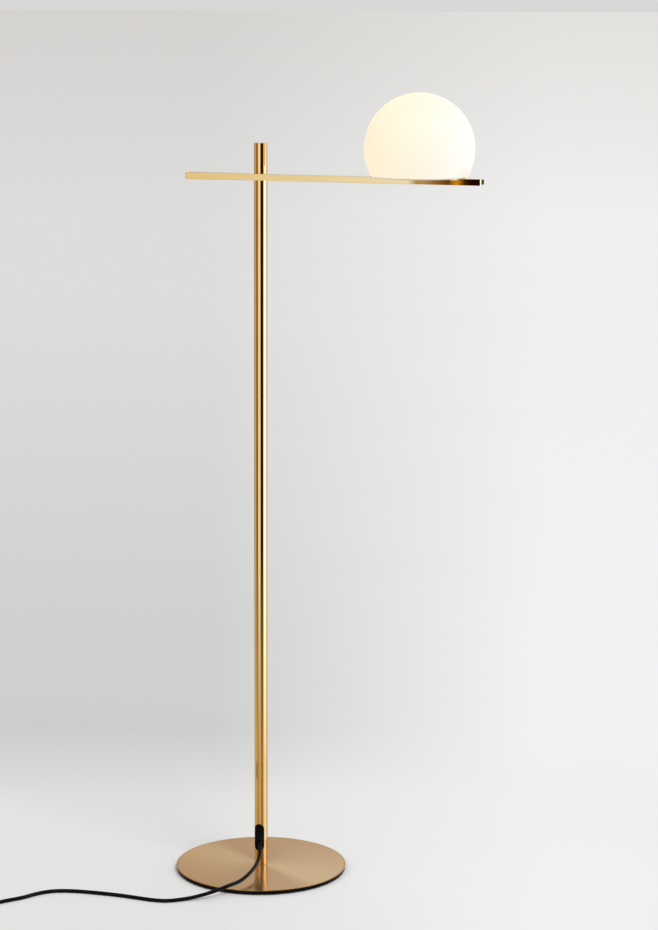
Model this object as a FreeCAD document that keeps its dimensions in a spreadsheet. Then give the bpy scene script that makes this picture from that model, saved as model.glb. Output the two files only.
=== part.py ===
import FreeCAD, Part
import math
import os

import Sketcher
from FreeCAD import Placement, Rotation, Vector

# Globe floor lamp: a brass upright on a round weighted base, a flat bar across its front,
# and an opal glass globe on the bar's long arm. Millimetres, +Z up. The origin is the centre
# of the base's underside, on the upright's axis. +X points along the bar's long arm, and the
# bar lies on the -Y side of the upright, which is the front.

doc = FreeCAD.newDocument("globe_floor_lamp")
sheet = doc.addObject("Spreadsheet::Sheet", "Sizes")


class Length:
    """A size as its number and as the expression that binds it to the sheet."""

    def __init__(self, value, text):
        self.value = value
        self.text = text

    def __add__(self, other):
        return Length(self.value + number(other), f"({self.text} + {words(other)})")

    def __sub__(self, other):
        return Length(self.value - number(other), f"({self.text} - {words(other)})")

    def __mul__(self, other):
        return Length(self.value * number(other), f"({self.text} * {words(other)})")

    def __truediv__(self, other):
        return Length(self.value / number(other), f"({self.text} / {words(other)})")

    def __neg__(self):
        return Length(-self.value, f"(0 - {self.text})")

    def __radd__(self, other):
        return Length(number(other) + self.value, f"({words(other)} + {self.text})")

    def __rsub__(self, other):
        return Length(number(other) - self.value, f"({words(other)} - {self.text})")

    __rmul__ = __mul__


def number(size):
    return size.value if isinstance(size, Length) else float(size)


def words(size):
    return size.text if isinstance(size, Length) else repr(float(size))


sheet_row = 0


def driving(alias, value, meaning):
    """Puts one driving dimension in the sheet, and returns it."""
    global sheet_row
    sheet_row += 1
    sheet.set(f"A{sheet_row}", meaning)
    sheet.set(f"B{sheet_row}", str(value))
    sheet.setAlias(f"B{sheet_row}", alias)
    return Length(float(value), f"Sizes.{alias}")


# ---- driving dimensions ------------------------------------------------------------------

base_radius = driving("base_radius", 162.5, "radius of the brass base cover")
weight_inset = driving("weight_inset", 1.0, "how far the black weight stands back from the cover")
pad_thickness = driving("pad_thickness", 1.5, "felt pad under the base")
weight_thickness = driving("weight_thickness", 6.8, "black steel weight")
cover_thickness = driving("cover_thickness", 1.1, "brass base cover")
tube_radius = driving("tube_radius", 12.7, "outer radius of the upright")
tube_wall = driving("tube_wall", 1.5, "wall of the upright")
lamp_height = driving("lamp_height", 1389.5, "top of the upright above the floor")
top_cap_rim = driving("top_cap_rim", 1.2, "visible rim of the upright's cap")
bolt_radius = driving("bolt_radius", 4.0, "central base bolt")
slot_width = driving("slot_width", 15.6, "cord slot in the upright")
slot_height = driving("slot_height", 50.0, "cord slot in the upright, end to end")
slot_middle = driving("slot_middle", 64.4, "height of the cord slot's middle above the floor")
grommet_lip = driving("grommet_lip", 1.4, "how far the grommet's lip overlaps round the slot")
grommet_proud = driving("grommet_proud", 1.3, "how far the grommet's lip stands off the upright")
bar_height = driving("bar_height", 12.0, "cross bar, top to bottom")
bar_depth = driving("bar_depth", 24.0, "cross bar, front to back")
bar_wall = driving("bar_wall", 1.5, "wall of the cross bar")
bar_middle = driving("bar_middle", 1328.3, "height of the bar's middle above the floor")
bar_short_arm = driving("bar_short_arm", 134.8, "bar's reach to the left of the upright")
bar_long_arm = driving("bar_long_arm", 426.6, "bar's reach to the right of the upright")
saddle_gap = driving("saddle_gap", 1.3, "saddle between the upright and the bar, at its thinnest")
end_cap_flange = driving("end_cap_flange", 3.0, "end cap outside the bar")
end_cap_bevel = driving("end_cap_bevel", 1.6, "bevel round the end cap")
arm_nipple_radius = driving("arm_nipple_radius", 4.0, "hollow nipple between upright and bar")
arm_nipple_bore = driving("arm_nipple_bore", 2.9, "bore radius of the arm's nipple")
nipple_radius = driving("nipple_radius", 4.9, "hollow nipple under the globe")
nipple_bore = driving("nipple_bore", 3.4, "bore radius of the globe's nipple")
globe_radius = driving("globe_radius", 100.0, "outer radius of the opal globe")
glass_thickness = driving("glass_thickness", 3.0, "wall of the opal globe")
globe_reach = driving("globe_reach", 309.4, "globe's axis to the right of the upright")
globe_middle = driving("globe_middle", 1385.4, "height of the globe's centre above the floor")
plate_radius = driving("plate_radius", 82.8, "gallery plate inside the globe's mouth")
plate_thickness = driving("plate_thickness", 1.5, "gallery plate")
sleeve_thickness = driving("sleeve_thickness", 0.8, "silicone sleeves under the glass")
holder_radius = driving("holder_radius", 19.5, "lampholder barrel")
holder_cap_height = driving("holder_cap_height", 11.0, "lower part of the lampholder")
holder_barrel_height = driving("holder_barrel_height", 27.0, "upper part of the lampholder")
bulb_radius = driving("bulb_radius", 22.5, "dome of the lamp bulb")
cord_radius = driving("cord_radius", 3.5, "mains cord")
switch_length = driving("switch_length", 64.0, "foot switch housing")
switch_width = driving("switch_width", 40.0, "foot switch housing")
switch_height = driving("switch_height", 23.0, "foot switch cover above the floor")
button_radius = driving("button_radius", 12.5, "foot switch button")
plug_width = driving("plug_width", 35.0, "mains plug body")
plug_depth = driving("plug_depth", 15.0, "mains plug body, lying flat")

base_top = pad_thickness + weight_thickness + cover_thickness
tube_bore = tube_radius - tube_wall
tube_end = lamp_height - top_cap_rim
bar_back = -(tube_radius + saddle_gap)
bar_axis = bar_back - bar_depth / 2
bar_top = bar_middle + bar_height / 2
plate_top = bar_top + plate_thickness
glass_foot = plate_top + sleeve_thickness

# ---- helpers ------------------------------------------------------------------------------


def bind(item, prop, size):
    """Gives a property its size, and ties it to the sheet where the size comes from there."""
    if isinstance(size, Length):
        item.setExpression(prop, size.text)
    else:
        setattr(item, prop, size)


def place(item, at, turn=None):
    """Puts an item at a point of plain numbers or sheet sizes, turned by a rotation."""
    item.Placement = Placement(Vector(*[number(c) for c in at]), turn or Rotation())
    for axis, coordinate in zip("xyz", at):
        if isinstance(coordinate, Length):
            item.setExpression(f"Placement.Base.{axis}", coordinate.text)
    return item


FACING_FRONT = Rotation(Vector(1, 0, 0), 90)  # turns +Z to -Y
FACING_RIGHT = Rotation(Vector(0, 1, 0), 90)  # turns +Z to +X


def cylinder(name, radius, height, at=(0, 0, 0), turn=None):
    item = doc.addObject("Part::Cylinder", name)
    bind(item, "Radius", radius)
    bind(item, "Height", height)
    return place(item, at, turn)


def cone(name, radius_1, radius_2, height, at=(0, 0, 0), turn=None):
    item = doc.addObject("Part::Cone", name)
    bind(item, "Radius1", radius_1)
    bind(item, "Radius2", radius_2)
    bind(item, "Height", height)
    return place(item, at, turn)


def block(name, length, width, height, at=(0, 0, 0), turn=None):
    """A box whose corner is at the point."""
    item = doc.addObject("Part::Box", name)
    bind(item, "Length", length)
    bind(item, "Width", width)
    bind(item, "Height", height)
    return place(item, at, turn)


def middle_block(name, length, width, height, at, turn=None):
    """A box whose centre is at the point, for boxes that aren't turned."""
    corner = (at[0] - length / 2, at[1] - width / 2, at[2] - height / 2)
    return block(name, length, width, height, corner, turn)


def hexagon(name, across_flats, height, at=(0, 0, 0), turn=None):
    item = doc.addObject("Part::Prism", name)
    item.Polygon = 6
    bind(item, "Circumradius", across_flats / math.sqrt(3))
    bind(item, "Height", height)
    return place(item, at, turn)


def cut(name, solid, *tools):
    item = doc.addObject("Part::Cut", name)
    item.Base = solid
    item.Tool = tools[0] if len(tools) == 1 else fuse(name + "_hollows", *tools)
    return item


def fuse(name, *solids):
    item = doc.addObject("Part::MultiFuse", name)
    item.Shapes = list(solids)
    return item


def common(name, *solids):
    item = doc.addObject("Part::MultiCommon", name)
    item.Shapes = list(solids)
    return item


def group(name, solids):
    """Identical pieces that share one node, as separate solids."""
    item = doc.addObject("Part::Compound", name)
    item.Links = list(solids)
    return item


def attached_sketch(body, name, plane_role):
    sketch = body.newObject("Sketcher::SketchObject", name)
    plane = [f for f in body.Origin.OriginFeatures if f.Role == plane_role][0]
    sketch.AttachmentSupport = [(plane, "")]
    sketch.MapMode = "FlatFace"
    return sketch


def draw_outline(sketch, corners):
    """A closed outline of straight lines. Each corner is two sizes, bound to the sheet."""
    count = len(corners)
    points = [Vector(number(u), number(v), 0) for u, v in corners]
    for i in range(count):
        sketch.addGeometry(Part.LineSegment(points[i], points[(i + 1) % count]), False)
    for i in range(count):
        sketch.addConstraint(Sketcher.Constraint("Coincident", i, 2, (i + 1) % count, 1))
    for i, (u, v) in enumerate(corners):
        for kind, axis, size in (("DistanceX", -2, u), ("DistanceY", -1, v)):
            if abs(number(size)) < 1e-9:
                sketch.addConstraint(Sketcher.Constraint("PointOnObject", i, 1, axis))
                continue
            index = sketch.addConstraint(Sketcher.Constraint(kind, -1, 1, i, 1, number(size)))
            if isinstance(size, Length):
                sketch.setExpression(f"Constraints[{index}]", size.text)


def turned(name, profile, at=(0, 0, 0), turn=None):
    """A piece turned on a lathe: its profile is radius and height pairs."""
    body = doc.addObject("PartDesign::Body", name)
    sketch = attached_sketch(body, name + "_profile", "XZ_Plane")
    draw_outline(sketch, profile)
    sketch.Visibility = False
    spin = body.newObject("PartDesign::Revolution", name + "_turning")
    spin.Profile = sketch
    spin.ReferenceAxis = (sketch, ["V_Axis"])
    spin.Angle = 360
    doc.recompute()
    return place(body, at, turn)


def extruded(name, outline, length, plane_role="XY_Plane", at=(0, 0, 0), turn=None):
    """A piece of one section all along, drawn on one of its origin planes."""
    body = doc.addObject("PartDesign::Body", name)
    sketch = attached_sketch(body, name + "_section", plane_role)
    draw_outline(sketch, outline)
    pad = body.newObject("PartDesign::Pad", name + "_length")
    pad.Profile = sketch
    bind(pad, "Length", length)
    doc.recompute()
    return place(body, at, turn)


def edge_names(shape, wanted):
    return [f"Edge{i + 1}" for i, edge in enumerate(shape.Edges) if wanted(edge)]


def soften(body, kind, size, wanted):
    """Adds a PartDesign Fillet or Chamfer on the edges that the test picks."""
    doc.recompute()
    tip = body.Tip
    feature = body.newObject(f"PartDesign::{kind}", f"{body.Name}_{kind.lower()}")
    feature.Base = (tip, edge_names(tip.Shape, wanted))
    bind(feature, "Radius" if kind == "Fillet" else "Size", size)
    body.Tip = feature
    doc.recompute()
    return feature


def runs_along(edge, direction):
    """True for a straight edge that lies along the direction."""
    if edge.Curve.TypeId != "Part::GeomLine":
        return False
    return abs(edge.tangentAt(edge.FirstParameter).dot(direction)) > 0.999


def rounded_slab(name, length, width, height, corner, edge, at=(0, 0, 0), turn=None):
    """A slab centred on its point's X and Y, with rounded corners and softened top edges."""
    half_x, half_y = length / 2, width / 2
    outline = [(-half_x, -half_y), (half_x, -half_y), (half_x, half_y), (-half_x, half_y)]
    body = extruded(name, outline, height)
    soften(body, "Fillet", corner, lambda e: runs_along(e, Vector(0, 0, 1)))
    top = number(height)
    if edge:
        soften(body, "Fillet", edge, lambda e: e.BoundBox.ZMin > top - 0.01)
    return place(body, at, turn)


def stadium(name, width, height, depth, at):
    """An oblong with round ends, upright, that reaches from the point towards -Y."""
    half = height / 2 - width / 2
    upper = cylinder(name + "_upper", width / 2, depth, (at[0], at[1], at[2] + half), FACING_FRONT)
    lower = cylinder(name + "_lower", width / 2, depth, (at[0], at[1], at[2] - half), FACING_FRONT)
    side = block(name + "_side", width, depth, half * 2,
                 (at[0] - width / 2, at[1] - depth, at[2] - half))
    return fuse(name, upper, lower, side)


def along(direction):
    """The rotation that turns +Z to the direction."""
    return Rotation(Vector(0, 0, 1), Vector(*direction))


# ---- base ---------------------------------------------------------------------------------

PIN_OFFSET = 8.0  # locating pin from the upright's axis
PIN_RADIUS = 1.5
PIN_LENGTH = 12.0
PIN_DEPTH = 3.0  # how far the pin goes into the weight
FIT = 0.05  # play in a close fit
CLEARANCE = 0.2  # play in a plain hole
THREAD_FIT = 0.02  # play between two threads that stand as plain cylinders
PAD_INSET = 6.0
WEIGHT_CHAMFER = 0.8
COVER_ARRIS = 0.2  # broken lower edge of the cover
COVER_BEVEL, COVER_BEVEL_MIDDLE = 0.45, 0.15  # its upper edge, in two facets
COUNTERSINK_DEPTH = 4.0
BOLT_END = 26.0  # height of the bolt's end above the floor
BOLT_CHAMFER = 0.8
BOLT_SOCKET, BOLT_SOCKET_DEPTH = 5.0, 2.6
weight_top = pad_thickness + weight_thickness


def make_base():
    turned("base_pad", [
        (0, 0),
        (base_radius - PAD_INSET, 0),
        (base_radius - PAD_INSET, pad_thickness),
        (0, pad_thickness)])

    weight_radius = base_radius - weight_inset
    weight = turned("base_weight_blank", [
        (bolt_radius * 2 + CLEARANCE * 2, pad_thickness),
        (weight_radius - WEIGHT_CHAMFER, pad_thickness),
        (weight_radius, pad_thickness + WEIGHT_CHAMFER),
        (weight_radius, weight_top),
        (bolt_radius + CLEARANCE, weight_top),
        (bolt_radius + CLEARANCE, pad_thickness + COUNTERSINK_DEPTH)])
    weight_pin_hole = cylinder("weight_pin_hole", PIN_RADIUS + FIT, PIN_DEPTH,
                               (PIN_OFFSET, 0, weight_top - PIN_DEPTH))
    cut("base_weight", weight, weight_pin_hole)

    cover = turned("base_cover_blank", [
        (bolt_radius + CLEARANCE, weight_top),
        (base_radius - COVER_ARRIS, weight_top),
        (base_radius, weight_top + COVER_ARRIS),
        (base_radius, base_top - COVER_BEVEL),
        (base_radius - COVER_BEVEL_MIDDLE, base_top - COVER_BEVEL_MIDDLE),
        (base_radius - COVER_BEVEL, base_top),
        (bolt_radius + CLEARANCE, base_top)])
    cover_pin_hole = cylinder("cover_pin_hole", PIN_RADIUS + FIT, PIN_LENGTH,
                              (PIN_OFFSET, 0, weight_top - 1))
    cut("base_cover", cover, cover_pin_hole)

    bolt = turned("base_bolt_blank", [
        (0, pad_thickness + CLEARANCE),
        (bolt_radius * 2, pad_thickness + CLEARANCE),
        (bolt_radius, pad_thickness + COUNTERSINK_DEPTH),
        (bolt_radius, BOLT_END),
        (bolt_radius - BOLT_CHAMFER, BOLT_END + BOLT_CHAMFER),
        (0, BOLT_END + BOLT_CHAMFER)])
    socket = hexagon("bolt_socket", BOLT_SOCKET, BOLT_SOCKET_DEPTH, (0, 0, pad_thickness))
    cut("base_bolt", bolt, socket)
    cylinder("locating_pin", PIN_RADIUS, PIN_LENGTH, (PIN_OFFSET, 0, weight_top - PIN_DEPTH))


# ---- upright ------------------------------------------------------------------------------

FOOT_PLUG_HEIGHT = 24.0
LEAD_IN = 1.0  # bevel that guides a plug into the tube
TUBE_FOOT_BEVEL = 0.6
CAP_DEPTH = 9.0  # how far the top cap's plug reaches into the tube
CAP_BEVEL = 0.5
SCREW_RADIUS = 2.0  # the clamp's screw
through_wall = tube_radius * 1.2  # from the upright's axis to outside its wall


def make_upright():
    plug_top = base_top + FOOT_PLUG_HEIGHT
    plug = turned("foot_plug_blank", [
        (bolt_radius + FIT, base_top),
        (tube_bore - FIT, base_top),
        (tube_bore - FIT, plug_top - LEAD_IN),
        (tube_bore - LEAD_IN, plug_top),
        (bolt_radius + FIT, plug_top)])
    pin_hole = cylinder("plug_pin_hole", PIN_RADIUS + FIT, 10, (PIN_OFFSET, 0, base_top - 1))
    cut("foot_plug", plug, pin_hole)

    tube = turned("upright_tube_blank", [
        (tube_bore, base_top),
        (tube_radius - TUBE_FOOT_BEVEL, base_top),
        (tube_radius, base_top + TUBE_FOOT_BEVEL),
        (tube_radius, tube_end),
        (tube_bore, tube_end)])
    slot = stadium("cord_slot", slot_width, slot_height, through_wall, (0, 0, slot_middle))
    arm_hole = cylinder("arm_hole", arm_nipple_radius + CLEARANCE, through_wall,
                        (0, 0, bar_middle), FACING_FRONT)
    screw_hole = cylinder("clamp_screw_hole", SCREW_RADIUS + FIT * 2, through_wall,
                          (0, through_wall, CLAMP_MIDDLE), FACING_FRONT)
    cut("upright_tube", tube, slot, arm_hole, screw_hole)

    turned("upright_top_cap", [
        (0, tube_end - CAP_DEPTH),
        (tube_bore - LEAD_IN, tube_end - CAP_DEPTH),
        (tube_bore - FIT, tube_end - CAP_DEPTH + LEAD_IN),
        (tube_bore - FIT, tube_end),
        (tube_radius, tube_end),
        (tube_radius, lamp_height - CAP_BEVEL),
        (tube_radius - CAP_BEVEL, lamp_height),
        (0, lamp_height)])


# ---- cord entry ---------------------------------------------------------------------------

# The cord leaves a tapered sleeve on the front of the upright, downwards and a little outwards.
CORD_BEHIND = -2.0  # the cord's y inside the clamp
CORD_EXIT = Vector(5, -20, 52)
EXIT_DIRECTION = Vector(1.5, -7, -9.5).normalize()
SLEEVE_LENGTH = 26.0
SLEEVE_ROOT = CORD_EXIT - EXIT_DIRECTION * SLEEVE_LENGTH
CLAMP_MIDDLE = 112.0  # height of the clamp that holds the cord inside the upright
CLAMP_HEIGHT = 14.0
SHEATH_END = 124.0  # above here the two leads run on without the cord's sheath
SLEEVE_RADIUS, SLEEVE_TIP_RADIUS = 5.0, 4.1
HOOD_RADIUS, HOOD_LENGTH = 6.4, 10.5  # collar of the grommet round the sleeve
HOOD_START = 7.0  # from the sleeve's root
NECK_INSIDE = 1.6  # how far the grommet's neck stands inside the tube
NECK_OUTSIDE = 0.6  # how far it reaches into the lip
SCREW_LENGTH = 10.5
SCREW_HEAD_RADIUS, SCREW_HEAD_HEIGHT = 3.6, 2.2
SCREW_SOCKET, SCREW_SOCKET_DEPTH = 2.5, 1.3


def ring_round_upright(name, inner, outer):
    """A tall ring round the upright's axis, past both ends of the cord slot."""
    foot, height = (0, 0, 25), 80
    return cut(name, cylinder(name + "_outside", outer, height, foot),
               cylinder(name + "_inside", inner, height, foot))


def make_cord_entry():
    depth = tube_radius * 1.3
    lip = stadium("grommet_lip_block", slot_width + grommet_lip * 2, slot_height + grommet_lip * 2,
                  depth, (0, 0, slot_middle))
    lip_ring = ring_round_upright("grommet_lip_ring", tube_radius + FIT, tube_radius + grommet_proud)
    neck = stadium("grommet_neck_block", slot_width - CLEARANCE, slot_height - CLEARANCE, depth,
                   (0, 0, slot_middle))
    neck_ring = ring_round_upright("grommet_neck_ring", tube_bore - NECK_INSIDE, tube_radius + NECK_OUTSIDE)
    turn = along(EXIT_DIRECTION)
    hood_start = SLEEVE_ROOT + EXIT_DIRECTION * HOOD_START
    hood = cylinder("grommet_hood", HOOD_RADIUS, HOOD_LENGTH, tuple(hood_start), turn)
    wall_ring = ring_round_upright("grommet_wall_ring", tube_bore - FIT, tube_radius + FIT)
    bore = cylinder("grommet_bore", SLEEVE_RADIUS + FIT, 40, tuple(SLEEVE_ROOT - EXIT_DIRECTION * 8), turn)
    solid = fuse("cord_grommet_blank",
                 common("grommet_lip_wall", lip, lip_ring),
                 common("grommet_neck_wall", neck, neck_ring),
                 cut("grommet_hood_clear_of_wall", hood, wall_ring))
    cut("cord_grommet", solid, bore)
    cone("strain_relief", SLEEVE_RADIUS, SLEEVE_TIP_RADIUS, SLEEVE_LENGTH, tuple(SLEEVE_ROOT), turn)

    clamp_foot = CLAMP_MIDDLE - CLAMP_HEIGHT / 2
    clamp = cylinder("cord_clamp_blank", tube_bore - 0.3, CLAMP_HEIGHT, (0, 0, clamp_foot))
    cord_way = cylinder("clamp_cord_way", cord_radius + FIT, CLAMP_HEIGHT + 2,
                        (0, CORD_BEHIND, clamp_foot - 1))
    screw_way = cylinder("clamp_screw_way", SCREW_RADIUS + FIT, 10, (0, 11.5, CLAMP_MIDDLE), FACING_FRONT)
    cut("cord_clamp", clamp, cord_way, screw_way)
    head_back = tube_radius + SCREW_HEAD_HEIGHT + 0.1
    shank = cylinder("clamp_screw_shank", SCREW_RADIUS, SCREW_LENGTH,
                     (0, tube_radius + CLEARANCE, CLAMP_MIDDLE), FACING_FRONT)
    head = cylinder("clamp_screw_head_blank", SCREW_HEAD_RADIUS, SCREW_HEAD_HEIGHT,
                    (0, head_back, CLAMP_MIDDLE), FACING_FRONT)
    socket = hexagon("clamp_screw_socket", SCREW_SOCKET, SCREW_SOCKET_DEPTH,
                     (0, head_back + 0.1, CLAMP_MIDDLE), FACING_FRONT)
    cut("clamp_screw", fuse("clamp_screw_blank", shank, head), socket)


# ---- cross bar ----------------------------------------------------------------------------

BAR_CORNER = 0.7  # rounding of the bar's long edges
SADDLE_WIDTH, SADDLE_BLOCK_DEPTH = 18.0, 6.0
SADDLE_INSET = 1.6  # how much less high than the bar the saddle is
SPIGOT_LENGTH, SPIGOT_PLAY = 10.0, 0.1
ARM_NIPPLE_LENGTH, ARM_NIPPLE_BACK = 16.5, -2.5
INSERT_LENGTH = 26.0  # solid block inside the bar that the nipple screws into
INSERT_WAY = (18.0, 9.0, 6.4)  # the leads' way through it
WASHER_RADIUS, WASHER_BACK = 7.6, -6.5
ARM_NUT_FLATS, ARM_NUT_HEIGHT, ARM_NUT_BACK = 13.5, 3.2, -3.3


def bar_section(height, depth):
    """The bar's section on the body's YZ plane, with its middle on the body's X axis."""
    half_depth, half_height = depth / 2, height / 2
    return [(-half_depth, -half_height), (half_depth, -half_height),
            (half_depth, half_height), (-half_depth, half_height)]


def make_bar():
    start = -bar_short_arm + end_cap_flange
    length = bar_short_arm + bar_long_arm - end_cap_flange * 2
    outside = extruded("bar_outside", bar_section(bar_height, bar_depth), length, "YZ_Plane")
    soften(outside, "Fillet", BAR_CORNER, lambda e: runs_along(e, Vector(1, 0, 0)))
    place(outside, (start, bar_axis, bar_middle))
    inner_height = bar_height - bar_wall * 2
    inner_depth = bar_depth - bar_wall * 2
    inside = block("bar_inside", length + 2, inner_depth, inner_height,
                   (start - 1, bar_axis - inner_depth / 2, bar_middle - inner_height / 2))
    back_hole = cylinder("bar_back_hole", arm_nipple_radius + CLEARANCE, bar_wall * 3,
                         (0, bar_back + bar_wall, bar_middle), FACING_FRONT)
    top_hole = cylinder("bar_top_hole", nipple_radius + CLEARANCE, bar_wall * 2.4,
                        (globe_reach, bar_axis, bar_top - bar_wall * 1.6))
    cut("arm_bar", outside, inside, back_hole, top_hole)

    saddle_height = bar_height - SADDLE_INSET
    saddle_block = block("saddle_block", SADDLE_WIDTH, SADDLE_BLOCK_DEPTH, saddle_height,
                         (-SADDLE_WIDTH / 2, bar_back, bar_middle - saddle_height / 2))
    hollow = cylinder("saddle_hollow", tube_radius + THREAD_FIT, 30, (0, 0, bar_middle - 15))
    nipple_way = cylinder("saddle_nipple_way", arm_nipple_radius + CLEARANCE, 12,
                          (0, -SADDLE_BLOCK_DEPTH, bar_middle), FACING_FRONT)
    cut("arm_saddle", saddle_block, hollow, nipple_way)

    for side, edge, sign in (("left", -bar_short_arm, 1), ("right", bar_long_arm, -1)):
        flange = extruded(f"end_flange_{side}", bar_section(bar_height, bar_depth), end_cap_flange,
                          "YZ_Plane")
        outer_x = 0 if sign > 0 else number(end_cap_flange)
        soften(flange, "Chamfer", end_cap_bevel,
               lambda e: abs(e.BoundBox.XMin - outer_x) + abs(e.BoundBox.XMax - outer_x) < 0.01)
        flange_x = edge if sign > 0 else edge - end_cap_flange
        place(flange, (flange_x, bar_axis, bar_middle))
        if sign > 0:
            spigot_x = edge + end_cap_flange - SPIGOT_PLAY
        else:
            spigot_x = edge - end_cap_flange - SPIGOT_LENGTH + SPIGOT_PLAY
        spigot = block(f"end_spigot_{side}", SPIGOT_LENGTH, inner_depth - SPIGOT_PLAY,
                       inner_height - SPIGOT_PLAY,
                       (spigot_x, bar_axis - (inner_depth - SPIGOT_PLAY) / 2,
                        bar_middle - (inner_height - SPIGOT_PLAY) / 2))
        fuse(f"bar_end_cap_{side}", flange, spigot)

    hollow_nipple("arm_nipple", arm_nipple_radius, arm_nipple_bore, ARM_NIPPLE_LENGTH,
                  (0, ARM_NIPPLE_BACK, bar_middle), FACING_FRONT)
    insert = middle_block("arm_insert_blank", INSERT_LENGTH, inner_depth - CLEARANCE,
                          inner_height - CLEARANCE, (0, bar_axis, bar_middle))
    insert_thread = cylinder("arm_insert_thread", arm_nipple_radius + THREAD_FIT, 12,
                             (0, bar_back, bar_middle), FACING_FRONT)
    insert_way = block("arm_insert_way", *INSERT_WAY, (-4.5, bar_axis - 5.5, bar_middle - INSERT_WAY[2] / 2))
    cut("arm_insert", insert, insert_thread, insert_way)

    washer_block = cylinder("arm_washer_block", WASHER_RADIUS, 5, (0, WASHER_BACK, bar_middle),
                            FACING_FRONT)
    washer_curve = cylinder("arm_washer_curve", tube_bore - THREAD_FIT, 20, (0, 0, bar_middle - 10))
    washer_hole = cylinder("arm_washer_hole", arm_nipple_radius + THREAD_FIT, 12, (0, -2, bar_middle),
                           FACING_FRONT)
    cut("arm_washer", common("arm_washer_solid", washer_block, washer_curve), washer_hole)
    ring_nut("arm_nut", arm_nipple_radius, ARM_NUT_FLATS, ARM_NUT_HEIGHT, (0, ARM_NUT_BACK, bar_middle),
             FACING_FRONT)


def hollow_nipple(name, radius, bore, length, at, turn=None):
    outside = cylinder(name + "_outside", radius, length, at, turn)
    inside = cylinder(name + "_inside", bore, length, at, turn)
    return cut(name, outside, inside)


def ring_nut(name, thread_radius, across_flats, height, at, turn=None):
    nut = hexagon(name + "_blank", across_flats, height, at, turn)
    hole = cylinder(name + "_hole", thread_radius + THREAD_FIT, height, at, turn)
    return cut(name, nut, hole)


# ---- globe and what carries it ------------------------------------------------------------

CLIP_WIDTH = 9.0
HOLDER_WALL = 2.4
VENT_COUNT = 6
VENT_REACH = (34, 58)  # inner and outer ends of a vent, from the globe's axis
VENT_HALF_WIDTH = (11, 20)  # at those ends
TAB_ANGLES = (90, 210, 330)  # the plate's tabs, which carry the glass
TAB_HALF_WIDTH, TAB_REACH = 6.0, 5.2  # a tab reaches this far past the plate's edge
CLIP_ANGLES = (30, 150, 270)  # the springs, which steady it
CLIP_STRIP = 0.8  # thickness of the spring strip
RIVET_HEAD, RIVET_HEAD_HEIGHT, RIVET_SHANK = 2.6, 1.2, 1.5
RIVET_INSET = 13.0  # from the plate's edge to a rivet
NIPPLE_LENGTH, NIPPLE_DROP = 14.5, 4.8  # the globe's nipple, and how far it starts below the bar's top
LOWER_NUT_FLATS, LOWER_NUT_HEIGHT = 15.0, 2.8
UPPER_NUT_FLATS, UPPER_NUT_HEIGHT = 16.0, 4.0
holder_foot = plate_top + UPPER_NUT_HEIGHT + CLEARANCE


def on_globe_axis(height):
    return (globe_reach, bar_axis, height)


def around_globe(name_of, maker, angles):
    """Copies of one piece set round the globe's axis, as a list of solids."""
    pieces = []
    for i, angle in enumerate(angles):
        piece = maker(f"{name_of}_{i + 1}")
        place(piece, on_globe_axis(0), Rotation(Vector(0, 0, 1), angle))
        pieces.append(piece)
    return pieces


def repeat_round(body, feature, count):
    """Repeats a body's feature evenly round its own axis."""
    pattern = body.newObject("PartDesign::PolarPattern", feature.Name + "_pattern")
    pattern.Originals = [feature]
    pattern.Axis = ([f for f in body.Origin.OriginFeatures if f.Role == "Z_Axis"][0], [""])
    pattern.Angle = 360
    pattern.Occurrences = count
    body.Tip = pattern
    doc.recompute()


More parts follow.
